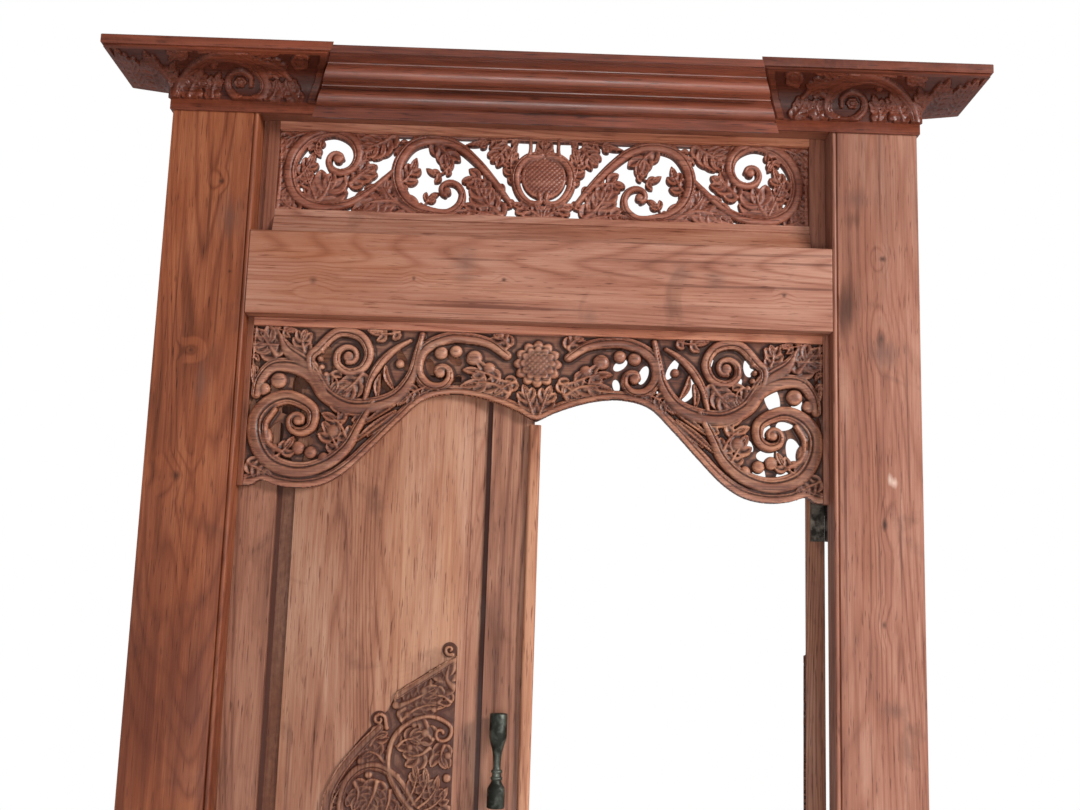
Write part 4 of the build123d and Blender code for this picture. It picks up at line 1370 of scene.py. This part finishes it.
@dataclass
class CorniceRun:
    """The cornice's middle: fillet, two round mouldings with a hollow between them, and a lip."""

    finish: Teak
    base: float = 2451.0
    end_drop: float = 7.0
    divider: Divider = Divider()
    lower: tuple[float, float] = (8.0, 46.0)
    upper: tuple[float, float] = (62.0, 79.0)
    radius: float = 18.5

    def section(self) -> list[tuple[float, float]]:
        """Profile as (reach, height) from the foot to the back of the lip.

        Returns:
            Its points in order.
        """
        def round_part(centre: tuple[float, float], first: float, last: float) -> list[tuple[float, float]]:
            """Points of a round moulding between two angles in degrees.

            Args:
                centre: the middle of its curve.
                first: the angle it starts at.
                last: the angle it ends at.

            Returns:
                The points.
            """
            turns = (math.radians(first + (last - first) * number / 14) for number in range(15))
            return [(centre[0] + self.radius * math.cos(t), centre[1] + self.radius * math.sin(t))
                    for t in turns]

        return [
            (0.0, 0.0), (5.0, 0.0), (6.0, 1.0), (6.0, 21.5), (5.0, 22.5), (3.0, 23.0), (3.0, 26.0),
            *round_part(self.lower, -76.0, 68.0), (17.0, 65.0), (22.0, 66.0), (23.0, 68.0), (32.0, 72.0),
            (42.0, 73.0), *round_part(self.upper, -158.0, 34.0), (79.0, 90.5), (83.0, 90.5), (84.0, 92.5),
            (96.0, 94.5), (110.0, 94.5), (110.0, 95.5), (121.0, 95.5), (121.0, 96.5), (126.0, 96.5),
            (127.0, 97.5), (127.0, 112.0), (126.0, 113.0), (0.0, 113.0),
        ]

    def build(self) -> None:
        """Draws the section along the lintel and cuts its ends to the end blocks."""
        profile = np.array(self.section())
        mesh, share, row = sweep(profile, 12)
        reach, rise = profile[row].T
        end = self.divider.at(reach, rise - self.end_drop)
        spots = np.column_stack([end * (2.0 * share - 1.0), -reach, self.base + rise]) * MM
        for vert, spot in zip(mesh.verts, spots):
            vert.co = spot
        close_up(mesh)
        bmesh.ops.recalc_face_normals(mesh, faces=list(mesh.faces))
        piece("cornice_run", mesh, self.finish.material(), "frame",
              ("cornice_moulding",), 30.0)


@dataclass
class CorniceEnd:
    """A carved end block of the cornice: cove and lip mitred round the corner."""

    side: Side
    finish: Teak
    photographer: Photographer
    corner: float = 811.0
    base: float = 2458.0
    depth: float = 104.0
    divider: Divider = Divider()
    front_length: float = 410.0
    side_length: float = 150.0
    seen_plane: float = -60.0
    cove_reach: tuple[float, float] = (5.1, 121.5)
    cove_rise: tuple[float, float] = (25.0, 92.0)
    rear_border: float = 26.0
    divider_border: float = 20.0
    lip_border: float = 113.0
    border_rise: float = 4.5

    def section(self) -> list[tuple[float, float]]:
        """Profile as (reach, height), from the foot round the cove to the back.

        Returns:
            Its points in order.
        """
        points = [(0.0, 0.0), (5.0, 0.0), (6.0, 1.0), (6.0, 22.5), (5.2, 24.0), (5.4, 27.0), (5.6, 30.0),
                  (5.8, 33.0), (6.0, 36.0)]
        steps = 38
        for number in range(1, steps + 1):
            turn = number / steps * math.pi / 2
            points.append((6.0 + 44.0 * (1 - math.cos(turn)), 36.0 + 48.0 * math.sin(turn)))
        for number in range(1, steps + 1):
            points.append((50.0 + 71.0 * number / steps, 84.0 + 7.5 * number / steps))
        return points + [(122.0, 93.0), (126.0, 93.0), (127.0, 94.5), (127.0, 111.5), (125.5, 113.0),
                         (0.0, 113.0)]

    def forms(self) -> Forms:
        """Ornament as it is seen on a plane 60 mm in front of the posts.

        Returns:
            Its strokes, blooms, bosses and leaves.
        """
        vine = {"top": 8.4, "drop": 5.0}
        return (
            Stroke(((790, 2466), (784, 2492), (765, 2524), (733, 2551), (694, 2562), (651, 2554), (618, 2531),
                    (602, 2500), (607, 2474), (632, 2461), (661, 2467), (680, 2490), (678, 2516), (656, 2528),
                    (634, 2514), (632, 2494)), 21, 10, 6, **vine),
            Stroke(((548, 2512), (576, 2538), (620, 2552), (668, 2574)), 9, 14, 4, **vine),
            Bloom((655, 2502), 14, 8.6, 5.0, petals=6, seeds=4.0),
            Bloom((531, 2556), 21, 7.0, 4.4, petals=5, seeds=6.0),
            Bloom((732, 2496), 13, 8.0, 4.4, petals=6, seeds=4.0),
            Bloom((784, 2562), 13, 7.4, 4.4, petals=5, seeds=4.0),
            Bloom((570, 2476), 10, 7.0, 4.4),
            *bosses(((594, 2520, 8, 6.6), (702, 2472, 8, 7.0), (740, 2472, 9, 7.0), (714, 2540, 8, 6.6)),
                    drop=4.2),
            *leaves((
                (614, 2546, 588, 2540, 556, 2520, 34, 3), (592, 2460, 580, 2480, 578, 2514, 36, 3),
                (530, 2462, 546, 2486, 556, 2516, 36, 3), (712, 2460, 712, 2486, 700, 2524, 32, 3),
                (764, 2462, 756, 2490, 738, 2532, 38, 4), (560, 2590, 600, 2582, 644, 2570, 30, 4),
                (640, 2592, 700, 2586, 752, 2570, 30, 5), (760, 2590, 790, 2580, 812, 2546, 32, 4),
                (800, 2462, 808, 2500, 800, 2544, 34, 4), (822, 2466, 838, 2510, 868, 2566, 36, 6),
                (856, 2474, 878, 2508, 910, 2556, 36, 6), (884, 2480, 900, 2520, 930, 2572, 30, 5),
            ), top=6.2, drop=4.6),
        )

    def build(self) -> None:
        """Runs the section round the corner, raises the ornament and caps the ends."""
        profile = np.array(self.section())
        step = 2.2
        front, back = int(self.front_length / step), int(self.side_length / step)
        mesh, along, row = sweep(profile, front + back)
        run = along * (front + back)
        slope = np.gradient(profile, axis=0)
        slope = (slope / np.maximum(np.linalg.norm(slope, axis=1), NEAR)[:, None])[row]
        reach, rise = profile[row].T
        before = run <= front + 0.01
        share = np.where(before, run / front, (run - front) / back)
        start = self.divider.at(reach, rise)
        x = np.where(before, start + (self.corner + reach - start) * share, self.corner + reach)
        y = np.where(before, -reach, -reach + (self.depth + reach) * share)
        spots = np.column_stack([x, y, self.base + rise])
        seen_x, seen_z = self.photographer.seen_at(spots, self.seen_plane)
        height = np.zeros(len(spots))
        for form in self.forms():
            gap, lift = form.fields(seen_x, seen_z)
            height = np.where(gap < 0.0, np.maximum(height, lift), height)
        cove = ((self.cove_rise[0] < rise) & (rise < self.cove_rise[1])
                & (self.cove_reach[0] < reach) & (reach < self.cove_reach[1]))
        ends = np.clip(np.minimum(run, front + back - run) / 3, 0.0, 1.0)
        border = ~before & (self.depth - y < self.rear_border) | before & (x - start < self.divider_border)
        height = np.where(border | (reach > self.lip_border), self.border_rise, height)
        height = np.where(cove, height, 0.0) * ends
        spots[:, 0] += np.where(before, 0.0, height * slope[:, 1])
        spots[:, 1] -= np.where(before, height * slope[:, 1], 0.0)
        spots[:, 2] -= height * slope[:, 0]
        # painted shade: the cove's ground is darkened where the ornament stands low
        dark = np.where(cove, np.clip(0.66 - height / 8.0, 0.0, 1.0), 0.0)
        layer = mesh.verts.layers.float.new("painted_shade")
        for vert, spot, shade in zip(mesh.verts, spots * MM, dark):
            vert.co = spot
            vert[layer] = shade
        close_up(mesh)
        if self.side is Side.LEFT:
            bmesh.ops.scale(mesh, vec=(-1.0, 1.0, 1.0), verts=list(mesh.verts))
        bmesh.ops.recalc_face_normals(mesh, faces=list(mesh.faces))
        name = "cornice_" + self.side.value
        piece(name + "_carved_end", mesh, self.finish.material(), "frame",
              (name + "_end",), 40.0)


@dataclass
class Pull:
    """The turned pull on the left meeting stile."""

    finish: Iron
    across: float = -56.0
    depth: float = 29.0
    foot: float = 1011.5
    crown: float = 1198.5
    grip: float = 18.0
    waist: float = 7.5

    def outline(self) -> list[tuple[float, float]]:
        """Radius at each height, from the foot's middle to the crown's.

        Returns:
            Pairs of a radius and a height over the foot.
        """
        points = [(0.0, 0.0), (self.grip - 3.0, 0.0), (self.grip - 1.0, 0.8), (self.grip, 2.6)]
        for number in range(13):
            share = number / 12
            points.append((self.grip - 8.0 * (0.5 - 0.5 * math.cos(math.pi * share)), 36.0 + 19.0 * share))
        points += [(11.0, 56.0), (12.0, 57.5), (12.0, 60.0), (11.0, 61.5), (9.5, 62.5), (9.2, 66.0),
                   (9.5, 69.0), (11.0, 70.0), (11.6, 71.5), (11.6, 73.0), (10.5, 74.5), (8.4, 76.0)]
        length = self.crown - self.foot
        for number in range(25):
            share = number / 24
            swell = (self.grip - self.waist) * (0.5 - 0.5 * math.cos(math.pi * share ** 1.5))
            points.append((self.waist + swell, 79.0 + (length - 41.0 - 79.0) * share))
        return points + [(self.grip, length - 2.6), (self.grip - 1.0, length - 0.8),
                         (self.grip - 3.0, length), (0.0, length)]

    def build(self) -> None:
        """Turns the pull about its upright axis."""
        mesh = bmesh.new()
        verts = [mesh.verts.new(((self.across + r) * MM, self.depth * MM, (self.foot + h) * MM))
                 for r, h in self.outline()]
        edges = [mesh.edges.new(pair) for pair in zip(verts, verts[1:])]
        bmesh.ops.spin(mesh, geom=verts + edges, cent=(self.across * MM, self.depth * MM, 0.0),
                       axis=(0, 0, 1), angle=2 * math.pi, steps=48, use_merge=True)
        bmesh.ops.remove_doubles(mesh, verts=list(mesh.verts), dist=MERGE / 2)
        bmesh.ops.recalc_face_normals(mesh, faces=list(mesh.faces))
        piece("turned_pull", mesh, self.finish.material(), "left_leaf",
              ("left_handle",), 40.0)


@dataclass
class Studio:
    """Pale floor, white surround and soft lamps."""

    floor_half: float = 6.0

    def lamp(self, name: str, place: tuple[float, float, float], aim: tuple[float, float, float],
             size: float, power: float) -> None:
        """Adds a soft square lamp.

        Args:
            name: its name.
            place: where it stands.
            aim: what it points at.
            size: its side in metres.
            power: its power in watts.
        """
        data = bpy.data.lights.new(name, "AREA")
        data.size = size
        data.energy = power
        made = bpy.data.objects.new(name, data)
        made.location = place
        made.rotation_euler = (Vector(aim) - Vector(place)).to_track_quat("-Z", "Y").to_euler()
        bpy.context.scene.collection.objects.link(made)

    def build(self) -> None:
        """Makes the floor, the world and the lamps."""
        mesh = bmesh.new()
        bmesh.ops.create_circle(mesh, cap_ends=True, segments=96, radius=self.floor_half)
        data = bpy.data.meshes.new("floor")
        mesh.to_mesh(data)
        mesh.free()
        tree = Tree("pale_floor")
        tree.feed(tree.shader, {"Base Color": (0.8, 0.79, 0.77, 1.0), "Roughness": 0.7})
        data.materials.append(tree.material)
        floor = bpy.data.objects.new("floor", data)
        bpy.context.scene.collection.objects.link(floor)
        world = bpy.data.worlds.new("surround")
        world.use_nodes = True
        nodes, links = world.node_tree.nodes, world.node_tree.links
        nodes["Background"].inputs["Color"].default_value = (0.93, 0.95, 1.0, 1.0)
        nodes["Background"].inputs["Strength"].default_value = 0.36
        white = nodes.new("ShaderNodeBackground")
        white.inputs["Color"].default_value = (1.0, 1.0, 1.0, 1.0)
        ray = nodes.new("ShaderNodeLightPath")
        choice = nodes.new("ShaderNodeMixShader")
        links.new(ray.outputs["Is Camera Ray"], choice.inputs[0])
        links.new(nodes["Background"].outputs[0], choice.inputs[1])
        links.new(white.outputs[0], choice.inputs[2])
        links.new(choice.outputs[0], nodes["World Output"].inputs["Surface"])
        bpy.context.scene.world = world
        self.lamp("key", (5.0, -3.8, 3.6), (0.0, 0.0, 1.4), 1.8, 390.0)
        self.lamp("fill", (0.2, -4.2, 0.4), (0.0, 0.0, 2.2), 2.0, 74.0)
        self.lamp("back", (0.5, 3.0, 2.6), (0.2, 0.2, 1.2), 2.0, 9.0)


@dataclass
class Frame:
    """Posts, lintel, head, transom frame and bands."""

    def boards(self) -> list[Board]:
        """The frame's boards with their finishes.

        Returns:
            The boards.
        """
        warm, rose = ("a26241", "87482c", "62301a"), ("b3826d", "9b6550", "784635")
        # the second tuple is the rose colour lightened: painted light on the transom's top rail and the
        # spandrel's top band, which lie in shade
        low, lit_rose = ("9a624d", "804d39", "5e3324"), ("d99b80", "bd7a60", "8c513d")
        grey, soot = "6e4c41", "33190f"
        right_marks = tuple(Mark(*row) for row in (
            # the first row darkens the post's top, just under the cornice
            (0.70, 2.36, 0.30, "6b4335", 0.40), (0.675, 2.309, 0.048, grey, 0.7, 0.7),
            (0.67, 2.262, 0.026, soot, 0.5), (0.653, 2.063, 0.030, soot, 0.7, 2.2),
            (0.737, 1.970, 0.042, grey, 0.75), (0.728, 2.0, 0.012, soot, 0.7, 1.5, 1.4),
            (0.732, 2.176, 0.008, soot, 0.9, 1.0, 1.5), (0.730, 1.605, 0.007, soot, 0.9, 2.0, 1.1),
            (0.725, 1.40, 0.007, soot, 0.8, 1.5, 1.1), (0.745, 1.231, 0.034, grey, 0.5, 0.7),
            (0.750, 1.693, 0.013, "d9b8a6", 0.8), (0.742, 1.700, 0.007, "e8cdbd", 0.7, 2.5),
            (0.70, 0.62, 0.012, soot, 0.8, 1.6, 1.4),
        ))
        left_marks = tuple(Mark(*row) for row in (
            # the first row makes the post darker and redder towards the bottom
            (-0.80, 1.16, 0.46, "5a2716", 0.72), (-0.668, 2.22, 0.040, grey, 0.45, 1.6),
            (-0.733, 1.926, 0.009, soot, 0.8, 0.8, 1.4), (-0.742, 1.66, 0.015, soot, 0.7, 0.8, 1.5),
            (-0.695, 2.30, 0.007, soot, 0.8, 1.0, 1.1), (-0.662, 2.10, 0.006, soot, 0.9),
            (-0.70, 1.86, 0.022, grey, 0.5, 3.0),
        ))
        lintel_marks = tuple(Mark(*row) for row in (
            # the first row makes the lintel's left part redder and darker
            (-0.47, 2.10, 0.30, "95532f", 0.45), (-0.161, 2.135, 0.034, grey, 0.6, 1.8),
            (0.300, 2.130, 0.030, grey, 0.5), (0.375, 2.115, 0.028, grey, 0.5),
            (-0.27, 2.097, 0.006, soot, 0.9, 1.0, 1.4), (-0.078, 2.101, 0.006, soot, 0.8, 1.0, 1.1),
            (-0.484, 2.085, 0.011, soot, 0.6, 1.0, 1.4), (0.106, 2.031, 0.022, grey, 0.5),
            (0.521, 2.087, 0.006, soot, 0.8, 1.0, 1.1),
        ))
        upright, level = Grain.UPRIGHT, Grain.LEVEL
        rows = (
            ("left_post", "left_post", warm, upright, (0.4, 0.1, 0.0), 2.2, left_marks),
            ("right_post", "right_post", rose, upright, (1.7, 0.3, 0.6), 2.2, right_marks),
            ("lintel", "lintel", rose, level, (0.2, 0.5, 1.1), 2.0, lintel_marks),
            ("head_beam", "head", low, level, (0.9, 0.2, 0.1), 2.0, ()),
            ("transom_left_stile", "transom_stile", low, upright, (0.1, 0.1, 0.3), 1.0, ()),
            ("transom_right_stile", "transom_stile", rose, upright, (0.5, 0.1, 0.9), 1.0, ()),
            ("transom_top_rail", "transom_rail", lit_rose, level, (0.5, 0.4, 0.2), 1.0, ()),
            ("transom_bottom_rail", "transom_rail", rose, level, (0.8, 0.6, 0.4), 0.8, ()),
            ("spandrel_left_band", "band", low, upright, (0.5, 0.2, 0.8), 1.2, ()),
            ("spandrel_right_band", "band", rose, upright, (0.7, 0.2, 0.1), 1.2, ()),
            ("spandrel_top_band", "band", lit_rose, level, (0.6, 0.3, 0.5), 1.2, ()),
        )
        return [
            Board(node, Teak(name + "_teak", "orange_teak" if shades is warm else "frame_teak", *shades,
                             grain, offset=offset, marks=marks), "frame", edge)
            for node, name, shades, grain, offset, edge, marks in rows
        ]

    def build(self) -> None:
        """Builds every board."""
        for board in self.boards():
            board.build()
        CorniceRun(Teak("cornice_teak", "dark_teak", "8f4c36", "66301f", "3e180e", Grain.LEVEL,
                        offset=(0.3, 0.7, 0.9), roughness=0.36, specular=0.5, coat=0.6, ringing=0.2)).build()


@dataclass
class Leaf:
    """One leaf of the door: stiles, rails and its carved panel."""

    side: Side

    def teak(self, name: str, grain: Grain, offset: tuple[float, float, float], panel: bool = False) -> Teak:
        """A finish for one of the leaf's boards.

        Args:
            name: what the board is.
            grain: direction of its fibres.
            offset: shift that sets its figure apart.
            panel: whether it is the lighter, carved panel.

        Returns:
            The finish.
        """
        shades = ("b78a71", "9e6a52", "784937") if panel else ("b07f66", "92604a", "693f2e")
        return Teak(f"{self.side.value}_{name}_teak", "panel_teak" if panel else "leaf_teak", *shades, grain,
                    self.side.turn, offset, carved=panel, recess_shade="3c150a")

    def build(self) -> None:
        """Builds the leaf's pieces."""
        body = self.side.value + "_leaf"
        shift = 0.0 if self.side is Side.LEFT else 2.3
        for name, grain in (("hanging_stile", Grain.UPRIGHT), ("meeting_stile", Grain.UPRIGHT),
                            ("top_rail", Grain.LEVEL), ("bottom_rail", Grain.LEVEL)):
            offset = (0.31 * len(name) + shift, 0.17 * len(name), 0.4 + shift)
            Board(f"{self.side.value}_{name}", self.teak(name, grain, offset), body, 1.6).build()
        Panel(self.side, self.teak("panel", Grain.UPRIGHT, (0.6 + shift, 0.4, 0.2), True)).build()


def dress_metal() -> None:
    """Gives the hinges, pins, studs and nuts their finishes."""
    steel = Iron("hinge_steel", "hinge_steel", "2a2622", "6f665c", 0.42, 0.9).material()
    iron = Iron("stud_iron", "handle_iron").material()
    for name, node in NODES.items():
        if "hinge" in name or "handle_" in name:
            node.data.materials.clear()
            node.data.materials.append(steel if "hinge" in name else iron)


def main() -> None:
    """Builds the door piece by piece."""
    logging.basicConfig(level=logging.INFO, format="%(name)s %(message)s")
    photographer = Photographer()
    photographer.build()
    Studio().build()
    Frame().build()
    TransomCarving().build()
    SpandrelCarving().build()
    for side in Side:
        Leaf(side).build()
        CorniceEnd(side, Teak(f"cornice_{side.value}_teak", "dark_teak", "8a4731", "64301f", "431c12",
                              Grain.LEVEL, offset=(0.2, 0.3, 0.5), carved=True, roughness=0.38,
                              specular=0.36, ringing=0.2, recess_shade="38120a", depth=0.9), photographer).build()
    Board("left_cover_bead", Teak("bead_teak", "leaf_teak", "c08b6e", "a36b50", "784833",
                                  offset=(0.9, 0.4, 0.2)), "left_leaf", 1.0).build()
    Pull(Iron("pull_iron", "handle_iron")).build()
    dress_metal()
    bpy.context.scene.view_settings.view_transform = "Standard"


if __name__ == "__main__":
    main()
